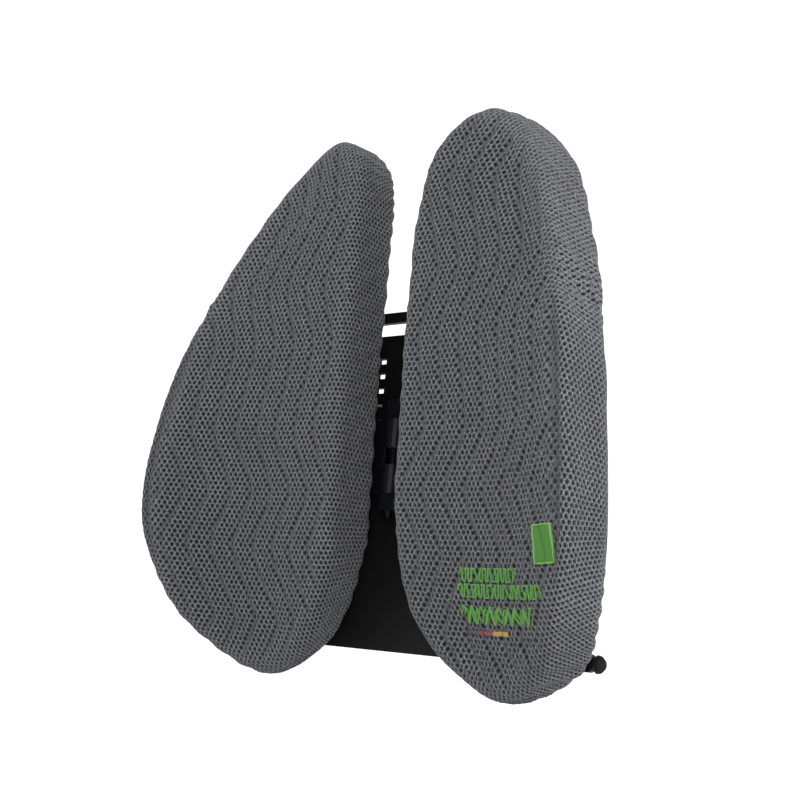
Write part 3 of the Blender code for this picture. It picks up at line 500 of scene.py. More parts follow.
class Slot(Enum):
    """The record's material slots, each with the finish that dresses it."""

    AIR_MESH = ("air_mesh", AirMeshFinish())
    FOAM = ("foam", PlasticFinish("foam_cells", (0.30, 0.30, 0.28), 0.95, grain=0.0016,
                                  grain_depth=0.4 * MM, rubbed=0.0))
    BOARD = ("board", PlasticFinish("pressed_board", (0.022, 0.022, 0.025), 0.6, grain=0.0012,
                                    grain_depth=0.09 * MM))
    BLACK_PLASTIC = ("black_plastic", PlasticFinish("etched_black", (0.0018, 0.0019, 0.0023), 0.5,
                                                    specular=0.14))
    ARM_PLASTIC = ("arm_plastic", PlasticFinish("satin_blue_black", (0.0028, 0.0029, 0.0045), 0.4,
                                                grain=0.0005, grain_depth=0.015 * MM, specular=0.16))
    STEEL = ("steel", MetalFinish("blackened_steel", (0.012, 0.0125, 0.014), 0.45))
    ACETAL = ("acetal", PlasticFinish("milky_acetal", (0.70, 0.70, 0.66), 0.4, grain=0.0006,
                                      grain_depth=0.01 * MM))
    GREY_PLASTIC = ("grey_plastic", PlasticFinish("moulded_grey", (0.20, 0.21, 0.22), 0.5))
    RUBBER = ("rubber", PlasticFinish("matt_rubber", (0.005, 0.005, 0.0055), 0.75, grain=0.0007,
                                      grain_depth=0.06 * MM, rubbed=0.3, specular=0.2))
    WEBBING = ("webbing", ClothFinish("ribbed_webbing", (0.012, 0.012, 0.013), pitch=1.3 * MM,
                                      depth=0.35 * MM))
    LABEL_CLOTH = ("label_cloth", ClothFinish("label_weave", (0.045, 0.20, 0.012), pitch=0.55 * MM,
                                              depth=0.12 * MM, roughness=0.7))

    @property
    def slot(self) -> str:
        """The slot's name in the record."""
        return self.value[0]


class Wardrobe:
    """Builds each finish once and dresses pieces with it."""

    def __init__(self) -> None:
        """Starts empty."""
        self.made: dict[str, bpy.types.Material] = {}

    def get(self, finish: object) -> bpy.types.Material:
        """The material of a finish.

        Args:
            finish: A finish, or a Slot that holds one.

        Returns:
            The material, made once.
        """
        maker = finish.value[1] if isinstance(finish, Slot) else finish
        if maker.name not in self.made:
            self.made[maker.name] = maker.build()
        return self.made[maker.name]

    def dress(self, obj: bpy.types.Object, finish: object) -> bpy.types.Object:
        """Gives a piece its finish, in every slot that it has."""
        material = self.get(finish)
        if obj.data.materials:
            for index in range(len(obj.data.materials)):
                obj.data.materials[index] = material
        else:
            obj.data.materials.append(material)
        return obj


WARDROBE = Wardrobe()


def place_piece(obj: bpy.types.Object, body: str, slot: Slot, finish: object | None = None,
                stands_for: tuple[str, ...] = ()) -> bpy.types.Object:
    """Dresses a new piece by its slot or its own finish and makes it ride.

    Args:
        obj: The piece.
        body: The CAD body that it moves with.
        slot: The record's slot that it takes its finish from.
        finish: A finish of its own, or None for the slot's.
        stands_for: CAD nodes that it replaces.

    Returns:
        The piece.
    """
    WARDROBE.dress(obj, finish or slot)
    if stands_for:
        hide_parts(*stands_for)
    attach(obj, body)
    LOG.info("%s: %d points on %s", obj.name, len(obj.data.vertices), body)
    return obj


# ---------------------------------------------------------------- the pad's surface
@dataclass
class PadSurface:
    """The right pad's skin as a function of two lengths on the flat cut of its cover.

    Inside the rim line the flat place is the face's own (u, v). Outside it, the length beyond the
    rim line runs round the front rim, down the side and round the back rim, square to the outline.
    """

    knots_mm: tuple = ((-28, 180), (-62, 153), (-71, 90), (-71, -20), (-68, -125), (-45, -188),
                       (12, -220), (72, -190), (100, -135), (103, -75), (84, 18), (49, 100), (14, 154))
    origin: Colour = (0.099, -0.083, 0.048)
    land_y: float = -0.038
    depth: float = 0.050
    yaw: float = 6.3
    twist: float = 10.0
    wrap: float = 4.0
    drop: float = 0.2
    drop_v: float = 0.080
    crown: float = 0.009
    front_rim: float = 0.0125
    back_rim: float = 0.009
    samples: int = 60
    batch: int = 20000  # how many places are compared with the outline at a time
    outline: Array = field(init=False)
    outward: Array = field(init=False)
    middle: Array = field(init=False)

    def __post_init__(self) -> None:
        """Traces the outline: a closed Catmull-Rom curve through the knots, and its normals."""
        knots = np.array(self.knots_mm, float) * MM
        t = (np.arange(self.samples) / self.samples)[None, :, None]
        p0, p1, p2, p3 = (np.roll(knots, -k, 0)[:, None] for k in (-1, 0, 1, 2))
        curve = 0.5 * (2 * p1 + (p2 - p0) * t + (2 * p0 - 5 * p1 + 4 * p2 - p3) * t**2
                       + (3 * p1 - p0 - 3 * p2 + p3) * t**3)
        self.outline = curve.reshape(-1, 2)
        along = np.roll(self.outline, -1, 0) - np.roll(self.outline, 1, 0)
        along /= np.linalg.norm(along, axis=1)[:, None]
        self.outward = np.stack([along[:, 1], -along[:, 0]], 1)
        self.middle = knots.mean(axis=0)
        rim = self.outline - self.outward * self.front_rim - self.middle
        angle = np.arctan2(rim[:, 1], rim[:, 0])
        order = np.argsort(angle)
        reach = np.linalg.norm(rim, axis=1)[order]
        once = angle[order]
        self._angles = np.concatenate([once - 2 * np.pi, once, once + 2 * np.pi])
        self._reaches = np.tile(reach, 3)

    @property
    def front_arc(self) -> float:
        """Length round the front rim."""
        return self.front_rim * math.pi / 2

    @property
    def back_arc(self) -> float:
        """Length round the back rim."""
        return self.back_rim * math.pi / 2

    @property
    def side_length(self) -> float:
        """Length of the flat cut that covers the side."""
        return self.depth - self.front_rim - self.back_rim

    def share(self, u: Array, v: Array) -> Array:
        """How far from the face's middle to its rim line a place is."""
        du, dv = u - self.middle[0], v - self.middle[1]
        return np.hypot(du, dv) / np.interp(np.arctan2(dv, du), self._angles, self._reaches)

    def sheet(self, u: Array, v: Array, back: Array | float) -> Array:
        """Points that far behind the uncrowned front sheet, the sheet being a parabola across a twist."""
        yaw = np.radians(self.yaw + self.twist * v)
        forward = self.wrap * u**2 - self.drop * (v - self.drop_v) ** 2
        x = self.origin[0] + u * np.cos(yaw) - forward * np.sin(yaw)
        y = self.origin[1] - u * np.sin(yaw) - forward * np.cos(yaw)
        return np.stack([x + back * np.sin(yaw), y + back * np.cos(yaw), self.origin[2] + v], -1)

    def full_depth(self, u: Array, v: Array) -> Array:
        """Front to back at a place: the pad's depth, or as far as its flat land."""
        yaw = np.radians(self.yaw + self.twist * v)
        return np.minimum(self.depth, (self.land_y - self.sheet(u, v, 0.0)[:, 1]) / np.cos(yaw))

    def nearest(self, p: Array, q: Array) -> tuple[Array, Array, Array]:
        """The outline place nearest to each flat place, its normal, and the length beyond the rim line.

        Args:
            p: First flat coordinate.
            q: Second flat coordinate.

        Returns:
            Outline places (n, 2), unit normals (n, 2), and signed lengths, below 0 on the face.
        """
        points = np.stack([p, q], 1)
        count = len(self.outline)
        found = np.empty(len(points), int)
        squares = (self.outline**2).sum(1)
        for start in range(0, len(points), self.batch):
            part = slice(start, start + self.batch)
            found[part] = np.argmin(squares[None] - 2 * points[part] @ self.outline.T, axis=1)
        base, normal = self.outline[found], self.outward[found]
        slide = ((points - base) * np.stack([-normal[:, 1], normal[:, 0]], 1)).sum(1)
        other = np.where(slide >= 0, (found + 1) % count, found - 1)
        chord = self.outline[other] - base
        length = np.linalg.norm(chord, axis=1)
        bend = ((self.outward[other] - normal) * chord).sum(1) / length
        reach = np.maximum(length + ((points - base) * normal).sum(1) * bend, 0.2 * length)
        t = np.clip(np.abs(slide) / reach, 0, 1)[:, None]
        normal = normal + (self.outward[other] - normal) * t
        normal /= np.linalg.norm(normal, axis=1)[:, None]
        base = base + chord * t
        return base, normal, ((points - base) * normal).sum(1) + self.front_rim

    def skin(self, p: Array, q: Array) -> Array:
        """The cover's place in space for each flat place, before quilting.

        The face carries a crown of (1 - share^2.6)^1.4. Beyond the rim line come a quarter circle,
        a straight side, a quarter circle, and the level back.
        """
        base, normal, beyond = self.nearest(p, q)
        on_face = beyond <= 0
        swell = self.crown * (1 - np.minimum(self.share(p, q), 1.0) ** 2.6) ** 1.4
        turn = np.clip(beyond / self.front_rim, 0, np.pi / 2)
        inset = self.front_rim * (1 - np.sin(turn))
        back = self.front_rim * (1 - np.cos(turn))
        rest = np.clip((beyond - self.front_arc) / self.side_length, 0, None)
        side = np.minimum(rest, 1.0)
        depth = self.full_depth(base[:, 0], base[:, 1])
        back = back + side * (depth - self.front_rim - self.back_rim)
        past = np.clip(beyond - self.front_arc - self.side_length, 0, None)
        turn = np.clip(past / self.back_rim, 0, np.pi / 2)
        inset = inset + self.back_rim * (1 - np.cos(turn)) + np.clip(past - self.back_arc, 0, None)
        back = back + self.back_rim * np.sin(turn)
        u = np.where(on_face, p, base[:, 0] - normal[:, 0] * inset)
        v = np.where(on_face, q, base[:, 1] - normal[:, 1] * inset)
        return self.sheet(u, v, np.where(on_face, -swell, back))


@dataclass
class Quilting:
    """The zigzag channels that are pressed into the cover, and its gentle unevenness."""

    spacing: float = 18.9 * MM
    turns_mm: tuple = ((-240, 0), (-212, 7.5), (-182, -9), (-130, 11.5), (-90, -5.3), (-46, 12), (17, 1),
                       (62, 14), (126, -5.5), (172, 6.5), (200, 0))  # (v, u) where the channels turn
    rounding: float = 0.5
    depth: float = 2.9 * MM
    width: float = 2.5 * MM
    puff: float = 0.9 * MM
    fade_in: float = -3.0 * MM
    fade_out: float = 13.0 * MM

    def across(self, p: Array, q: Array) -> Array:
        """Signed distance across the strips to the nearest channel, whose line is a rounded zigzag.

        Between two turning places the line is a mix of a straight one and one with level ends.
        """
        v, u = np.array(self.turns_mm, float).T * MM
        index = np.clip(np.searchsorted(v, q) - 1, 0, len(v) - 2)
        t = np.clip((q - v[index]) / (v[index + 1] - v[index]), 0, 1)
        t = (1 - self.rounding) * t + self.rounding * smooth_step(t, 0, 1)
        turns = (p - u[index] - t * (u[index + 1] - u[index])) / self.spacing
        return (turns - np.round(turns)) * self.spacing

    def sink(self, p: Array, q: Array) -> Array:
        """Share of a channel's full depth at a place: exp(-(x / width)^1.7)."""
        return np.exp(-(np.abs(self.across(p, q)) / self.width) ** 1.7)

    def strength(self, beyond: Array) -> Array:
        """Share of the quilting that is left at a length beyond the rim line."""
        return 1 - smooth_step(beyond, self.fade_in, self.fade_out)

    def height(self, p: Array, q: Array, beyond: Array) -> Array:
        """How far the quilted skin stands out: rounded strips between sunk channels, fading at the rim.

        Args:
            p: First flat coordinate.
            q: Second flat coordinate.
            beyond: Length beyond the rim line, below 0 on the face.

        Returns:
            Heights in metres.
        """
        strip = self.puff * np.cos(np.pi * self.across(p, q) / self.spacing)
        return self.strength(beyond) * (strip - self.depth * self.sink(p, q))


@dataclass
class Bulge:
    """How far the cover swells over its foam: a cloth simulation on a coarse cut of the same skin."""

    surface: PadSurface
    limit: float
    spacing: float = 5.5 * MM
    pressure: float = 4.0
    frames: int = 20
    cap: float = 3.5 * MM
    calm: int = 4  # times that each place is averaged with its neighbours
    heights: Array = field(init=False)

    def __post_init__(self) -> None:
        """Lays out the coarse grid, level until it is simulated."""
        low = self.surface.outline.min(0) - self.limit - 4 * self.spacing
        high = self.surface.outline.max(0) + self.limit + 4 * self.spacing
        self.p = np.arange(low[0], high[0], self.spacing)
        self.q = np.arange(low[1], high[1], self.spacing)
        self.heights = np.zeros((len(self.q), len(self.p)))

    def simulate(self) -> None:
        """Blows the cut up with its border held, then keeps the move along the skin's normal, capped."""
        p, q = (g.ravel() for g in np.meshgrid(self.p, self.q))
        beyond = self.surface.nearest(p, q)[2]
        here, normal = normals_of(self.surface.skin, p, q)
        faces = grid_faces(len(self.q), len(self.p))
        faces = faces[(beyond[faces] < self.limit).all(1)]
        used, faces = np.unique(faces, return_inverse=True)
        obj = make_mesh("cloth_cut", here[used], faces.reshape(-1, 4))
        held = obj.vertex_groups.new(name="held")
        held.add(np.nonzero(beyond[used] > self.limit - 14 * MM)[0].tolist(), 1.0, "REPLACE")
        cloth = obj.modifiers.new("cloth", "CLOTH")
        cloth.settings.vertex_group_mass = "held"
        cloth.settings.use_pressure = True
        cloth.settings.uniform_pressure_force = self.pressure
        cloth.settings.tension_stiffness = cloth.settings.compression_stiffness = 12.0
        cloth.settings.effector_weights.gravity = 0.0
        cloth.collision_settings.use_collision = False
        cloth.point_cache.frame_end = self.frames
        scene = bpy.context.scene
        for frame_number in range(1, self.frames + 1):
            scene.frame_set(frame_number)
        moved = obj.evaluated_get(bpy.context.evaluated_depsgraph_get()).data
        places = np.empty(len(used) * 3, np.float32)
        moved.vertices.foreach_get("co", places)
        rise = ((places.reshape(-1, 3) - here[used]) * normal[used]).sum(1)
        rise = self.cap * np.tanh(rise / self.cap)
        flat = np.zeros(len(p))
        flat[used] = rise * (1 - smooth_step(beyond[used], -8 * MM, 16 * MM))
        heights = flat.reshape(self.heights.shape)
        for _ in range(self.calm):
            heights = (heights + sum(np.roll(heights, step, axis) for step in (-1, 1) for axis in (0, 1))) / 5
        self.heights = heights
        bpy.data.objects.remove(obj)
        scene.frame_set(1)
        LOG.info("cover swells by %.1f to %.1f mm", rise.min() / MM, rise.max() / MM)

    def height(self, p: Array, q: Array) -> Array:
        """The swelling at flat places, read between the grid's points in both directions."""
        a = np.clip((p - self.p[0]) / self.spacing, 0, len(self.p) - 1.001)
        b = np.clip((q - self.q[0]) / self.spacing, 0, len(self.q) - 1.001)
        i, j = a.astype(int), b.astype(int)
        a, b = a - i, b - j
        a, b = a * a * (3 - 2 * a), b * b * (3 - 2 * b)
        h = self.heights
        low = h[j, i] * (1 - a) + h[j, i + 1] * a
        return low * (1 - b) + (h[j + 1, i] * (1 - a) + h[j + 1, i + 1] * a) * b


@dataclass
class CellSheet:
    """A flat sheet of six-sided cells, each with a hole, as one mesh.

    The cells are the nearest-place cells of staggered rows. Rings of six points step in from each
    cell's edge to the rim of its hole, down its wall and to its floor.
    """

    across: float = 4.2 * MM
    row: float = 3.4 * MM
    rim_share: float = 0.80
    wall_share: float = 0.60
    rim_drop: float = 0.30 * MM
    floor_drop: float = 1.5 * MM

    def corners(self) -> Array:
        """The six corners of a cell about its middle, anticlockwise."""
        tall = self.row / 2 + self.across**2 / (8 * self.row)
        low = self.row - tall
        half = self.across / 2
        return np.array([(0, tall), (-half, low), (-half, -low), (0, -tall), (half, -low), (half, low)])

    def lay(self, keep: Callable[[Array, Array], Array], box: tuple[Array, Array],
            stretch: Callable[[Array, Array], Array]) -> dict[str, Array]:
        """Lays cells over a box and keeps those whose middles pass a test.

        Args:
            keep: Tells for flat places whether a cell is there.
            box: Lowest and highest flat corner.
            stretch: Gives for flat places the 2 x 2 matrix that shapes each hole.

        Returns:
            Flat places, hole shares, drops and the faces of the mesh.
        """
        (low_p, low_q), (high_p, high_q) = box
        rows = np.arange(math.floor(low_q / self.row), math.ceil(high_q / self.row) + 1)
        columns = np.arange(math.floor(low_p / self.across), math.ceil(high_p / self.across) + 1)
        r, c = np.meshgrid(rows, columns, indexing="ij")
        middle = np.stack([(c + 0.5 * (r % 2)) * self.across, r * self.row], -1).reshape(-1, 2)
        middle = middle[keep(middle[:, 0], middle[:, 1])]
        ring = self.corners()
        outer = (middle[:, None] + ring[None]).reshape(-1, 2)
        keys = np.round(outer / (0.05 * MM)).astype(np.int64)
        _, first, shared = np.unique(keys, axis=0, return_index=True, return_inverse=True)
        edge = outer[first]
        shared = shared.reshape(-1, 6)
        shaped = np.einsum("nij,kj->nki", stretch(middle[:, 0], middle[:, 1]), ring)
        rim = (middle[:, None] + shaped * self.rim_share).reshape(-1, 2)
        wall = (middle[:, None] + shaped * self.wall_share).reshape(-1, 2)
        count = len(middle)
        rim_id = len(edge) + np.arange(6 * count).reshape(-1, 6)
        wall_id = rim_id + 6 * count
        after = np.roll(np.arange(6), -1)
        ribs = np.stack([shared, shared[:, after], rim_id[:, after], rim_id], -1).reshape(-1, 4)
        walls = np.stack([rim_id, rim_id[:, after], wall_id[:, after], wall_id], -1).reshape(-1, 4)
        flat = np.concatenate([edge, rim, wall])
        # hole shares set how much painted shade each ring gets: none on the ribs, half at the rims, full on
        # the walls and floors
        hole = np.concatenate([np.zeros(len(edge)), np.full(6 * count, 0.5), np.ones(6 * count)])
        drop = np.concatenate([np.zeros(len(edge)), np.full(6 * count, self.rim_drop),
                               np.full(6 * count, self.floor_drop)])
        quads = np.concatenate([ribs, walls])
        return {"flat": flat, "hole": hole, "drop": drop, "quads": quads, "floors": wall_id}


@dataclass
class PadCover:
    """The sewn cover of one wing: quilted air mesh, seam, gathered return and elastic hem."""

    side: Side
    surface: PadSurface
    quilting: Quilting = field(default_factory=Quilting)
    cells: CellSheet = field(default_factory=CellSheet)
    lip: float = 24.0 * MM
    seam_past: float = 18.0 * MM  # how far past the start of the back rim the seam lies
    pull: float = 0.42  # how much the side's holes close across the pull of the cover
    swollen: Bulge | None = None
    seam_radius: float = 1.3 * MM
    hem_radius: float = 1.5 * MM
    crease_beyond: float = 7.0 * MM  # from the rim line to the crease along the outer side
    gathers: int = 150
    notch_v: float = 52.0 * MM  # height of the dent in the outer side
    outward_range: tuple[float, float] = (0.5, 0.85)  # outline normal's X where the outer side starts
    slack_foot: tuple[float, float] = (-165.0 * MM, -120.0 * MM)
    slack_waist: tuple[float, float] = (0.0, 45.0 * MM)
    open_waist: tuple[float, float] = (-20.0 * MM, 40.0 * MM)

    @property
    def body(self) -> str:
        """The CAD body that the wing is."""
        return f"{self.side.label}_wing"

    @property
    def seam_beyond(self) -> float:
        """Length from the rim line to the seam."""
        return self.surface.front_arc + self.surface.side_length + self.seam_past

    @property
    def hem_past(self) -> float:
        """Length from the start of the back rim to the hem."""
        return self.surface.back_arc + self.lip - self.surface.back_rim

    def placed(self, points: Array) -> Array:
        """Points of the right wing, mirrored for the left."""
        return points * np.array([self.side.value, 1.0, 1.0])

    def turned(self, faces: Array) -> Array:
        """Faces wound to point outward: as in the flat cut on the right, reversed on the left."""
        return faces if self.side is Side.RIGHT else faces[:, ::-1]

    def facing_out(self, normal: Array) -> Array:
        """Share by which a place belongs to the outer side."""
        return smooth_step(normal[:, 0], *self.outward_range)

    def slack_reach(self, q: Array, waist: tuple[float, float] | None = None) -> Array:
        """Share by which a height lies between the foot and the waist, where the cover is slack."""
        return smooth_step(q, *self.slack_foot) * (1 - smooth_step(q, *(waist or self.slack_waist)))

    def crease_share(self, beyond: Array, width: float) -> Array:
        """Nearness to the crease along the outer side: exp(-(x / width)^2)."""
        return np.exp(-((beyond - self.crease_beyond) / width) ** 2)

    def swelling(self, p: Array, q: Array) -> Array:
        """How far the skin stands out: quilting, unevenness, puckers, and folds at the outer side."""
        _, normal, beyond = self.surface.nearest(p, q)
        height = self.quilting.height(p, q, beyond)
        height = height + 0.45 * MM * ripple(p, q, 11 + self.side.value, 55 * MM)
        if self.swollen is not None:
            height = height + self.swollen.height(p, q)
        outer = smooth_step(normal[:, 0], 0.55, 0.85) * smooth_step(beyond, -12 * MM, 4 * MM)
        reach = self.slack_reach(q)
        wave = np.sin(2 * np.pi * (q + 0.5 * p) / (17 * MM) + 1.3 * np.sin(q / (21 * MM)))
        pucker = 0.55 * MM * wave * smooth_step(beyond, 2 * MM, 20 * MM) * (1 - outer * reach)
        away = (q - self.notch_v) / MM
        slant = (away + 0.9 * beyond / MM) / 9.0
        folds = np.sin(2 * np.pi * slant) * np.exp(-(away / 16.0) ** 2) * 0.7 * MM
        dent = -1.6 * MM * np.exp(-((away + 9.0) / 5.0) ** 2) * smooth_step(beyond, 6 * MM, 20 * MM)
        plump = 1.5 * MM * np.exp(-((beyond - self.crease_beyond - 17 * MM) / (9 * MM)) ** 2)
        crease = plump - 3.2 * MM * self.crease_share(beyond, 4.2 * MM)
        return height + pucker + outer * (folds + dent) + self.facing_out(normal) * reach * crease

    def quilted(self, p: Array, q: Array) -> Array:
        """The cover's place in space with its swelling, along the bare skin's normal."""
        here, normal = normals_of(self.surface.skin, p, q)
        return here + normal * self.swelling(p, q)[:, None]

    def stretch(self, p: Array, q: Array) -> Array:
        """How each hole is shaped: closed along a pulled rim, and narrowed in the channels.

        Args:
            p: First flat coordinate.
            q: Second flat coordinate.

        Returns:
            One 2 x 2 matrix for each place.
        """
        _, normal, beyond = self.surface.nearest(p, q)
        slack = self.facing_out(normal) * self.slack_reach(q, self.open_waist)
        inner, foot = smooth_step(-normal[:, 0], 0.3, 0.8), smooth_step(-normal[:, 1], 0.1, 0.7)
        share = smooth_step(beyond, -12 * MM, 8 * MM) * (1 - 0.9 * slack)
        share = share * (1 - 0.7 * inner) * (1 - 0.5 * foot)
        along = np.stack([-normal[:, 1], normal[:, 0]], 1)
        shape = ((1 + 0.1 * share)[:, None, None] * normal[:, :, None] * normal[:, None, :]
                 + (1 - self.pull * share)[:, None, None] * along[:, :, None] * along[:, None, :])
        sunk = self.quilting.sink(p, q) * self.quilting.strength(beyond)
        crease = slack * self.crease_share(beyond, 9 * MM)
        shape[:, 0, :] *= (0.84 * (1 - 0.55 * sunk) * (1 - 0.5 * crease))[:, None]
        shape[:, 1, :] *= (1 - 0.12 * sunk)[:, None]
        return shape

    def build_face(self) -> bpy.types.Object:
        """The air mesh, from the middle of the face to the seam behind the back rim."""
        s = self.surface
        limit = self.seam_beyond

        def keep(p: Array, q: Array) -> Array:
            """Whether a cell's middle lies inside the cut."""
            return s.nearest(p, q)[2] < limit - 0.2 * self.cells.row

        margin = limit + 5 * MM
        laid = self.cells.lay(keep, (s.outline.min(0) - margin, s.outline.max(0) + margin), self.stretch)
        p, q = laid["flat"].T
        base, normal, beyond = s.nearest(p, q)
        over = np.clip(beyond - limit, 0, None)
        p, q = p - normal[:, 0] * over, q - normal[:, 1] * over
        here, outward = normals_of(self.quilted, p, q)
        sunk = self.quilting.sink(p, q) * self.quilting.strength(beyond)
        crease = self.crease_share(beyond, 6 * MM) * self.facing_out(normal) * self.slack_reach(q)
        # the crease takes the channels' painted shade in the material as well as their shallower holes
        sunk = np.maximum(sunk, crease)
        drop = laid["drop"] * (1 - 0.35 * sunk)
        points = self.placed(here - outward * drop[:, None])
        faces = [self.turned(laid["quads"]), self.turned(laid["floors"])]
        obj = make_mesh(f"{self.side.label}_air_mesh", points, faces, np.stack([p, q], 1),
                        {"hole": laid["hole"], "sunk": sunk})
        place_piece(obj, self.body, Slot.AIR_MESH,
                    stands_for=(f"{self.side.label}_mesh_cover", f"{self.side.label}_foam_core"))
        return obj

    def back_line(self, past: float, lift: float = 0.0) -> Array:
        """A closed line round the back: its length past the back rim's start, and its lift."""
        s = self.surface
        flat = s.outline + s.outward * (past + s.side_length + s.front_arc - s.front_rim)
        here, normal = normals_of(s.skin, flat[:, 0], flat[:, 1])
        return here + normal * lift

    def build_return(self) -> bpy.types.Object:
        """The plain knit that is drawn on to the back: gathered folds that deepen towards the hem."""
        s = self.surface
        count, steps = len(s.outline), 16
        past = np.linspace(self.seam_past - 0.5 * MM, self.hem_past, steps)
        rows = np.stack([self.back_line(float(x)) for x in past])
        out = np.stack([self.back_line(float(x), 1.0 * MM) for x in past]) - rows
        turn = np.linspace(0, 2 * np.pi, count, endpoint=False)
        wander = 2.2 * np.sin(3 * turn + 1) + 1.4 * np.sin(7 * turn)
        folds = 0.55 + 0.45 * np.sin(self.gathers * turn + wander)
        share = np.linspace(0, 1, steps)[:, None]
        points = (rows + out * (0.25 + 0.75 * folds * share)[..., None]).reshape(-1, 3)
        length = np.linalg.norm(np.roll(s.outline, -1, 0) - s.outline, axis=1).cumsum()
        uv = np.stack(np.broadcast_arrays(length[None, :], past[:, None]), -1).reshape(-1, 2)
        faces = self.turned(grid_faces(steps, count, False, True)[:, ::-1])
        obj = make_mesh(f"{self.side.label}_cover_return", self.placed(points), faces, uv)
        solid = obj.modifiers.new("cloth", "SOLIDIFY")
        solid.thickness, solid.offset = 0.7 * MM, -1.0
        knit = ClothFinish("plain_knit", (0.020, 0.020, 0.023), 1.0 * MM, 0.25 * MM)
        return place_piece(obj, self.body, Slot.AIR_MESH, knit)

    def build_trim(self) -> None:
        """The corded seam that joins mesh and return, and the rolled elastic hem at its end."""
        knit = ClothFinish("seam_tape", (0.016, 0.016, 0.018), 0.8 * MM, 0.25 * MM)
        for name, past, lift, radius in (("seam_cord", self.seam_past, 0.3 * MM, self.seam_radius),
                                         ("elastic_hem", self.hem_past, 0.9 * MM, self.hem_radius)):
            path = self.placed(self.back_line(past, lift)[::2])
            points, faces, uv = swept_tube(path, radius, 8, closed=True)
            obj = make_mesh(f"{self.side.label}_{name}", points, faces, uv)
            place_piece(obj, self.body, Slot.AIR_MESH, knit)

    def build(self) -> None:
        """Every piece of the cover."""
        self.build_face()
        self.build_return()
        self.build_trim()


# ---------------------------------------------------------------- label and embroidery
@dataclass(frozen=True)
class StitchedRow:
    """One row of plain ornament, in millimetres on the flat cut."""

    top: float
    foot: float
    start: float
    stop: float
    pitch: float
    square: bool
    lift: float = 0.0  # in metres, over the other rows


ROWS = (StitchedRow(-138.0, -145.6, -8.0, 50.0, 5.6, True),
        StitchedRow(-148.0, -155.6, -9.0, 80.0, 5.6, True),
        StitchedRow(-161.0, -172.0, -8.0, 67.0, 9.0, False),
        StitchedRow(-162.5, -170.5, -6.0, 65.0, 6.4, False, 0.1 * MM))


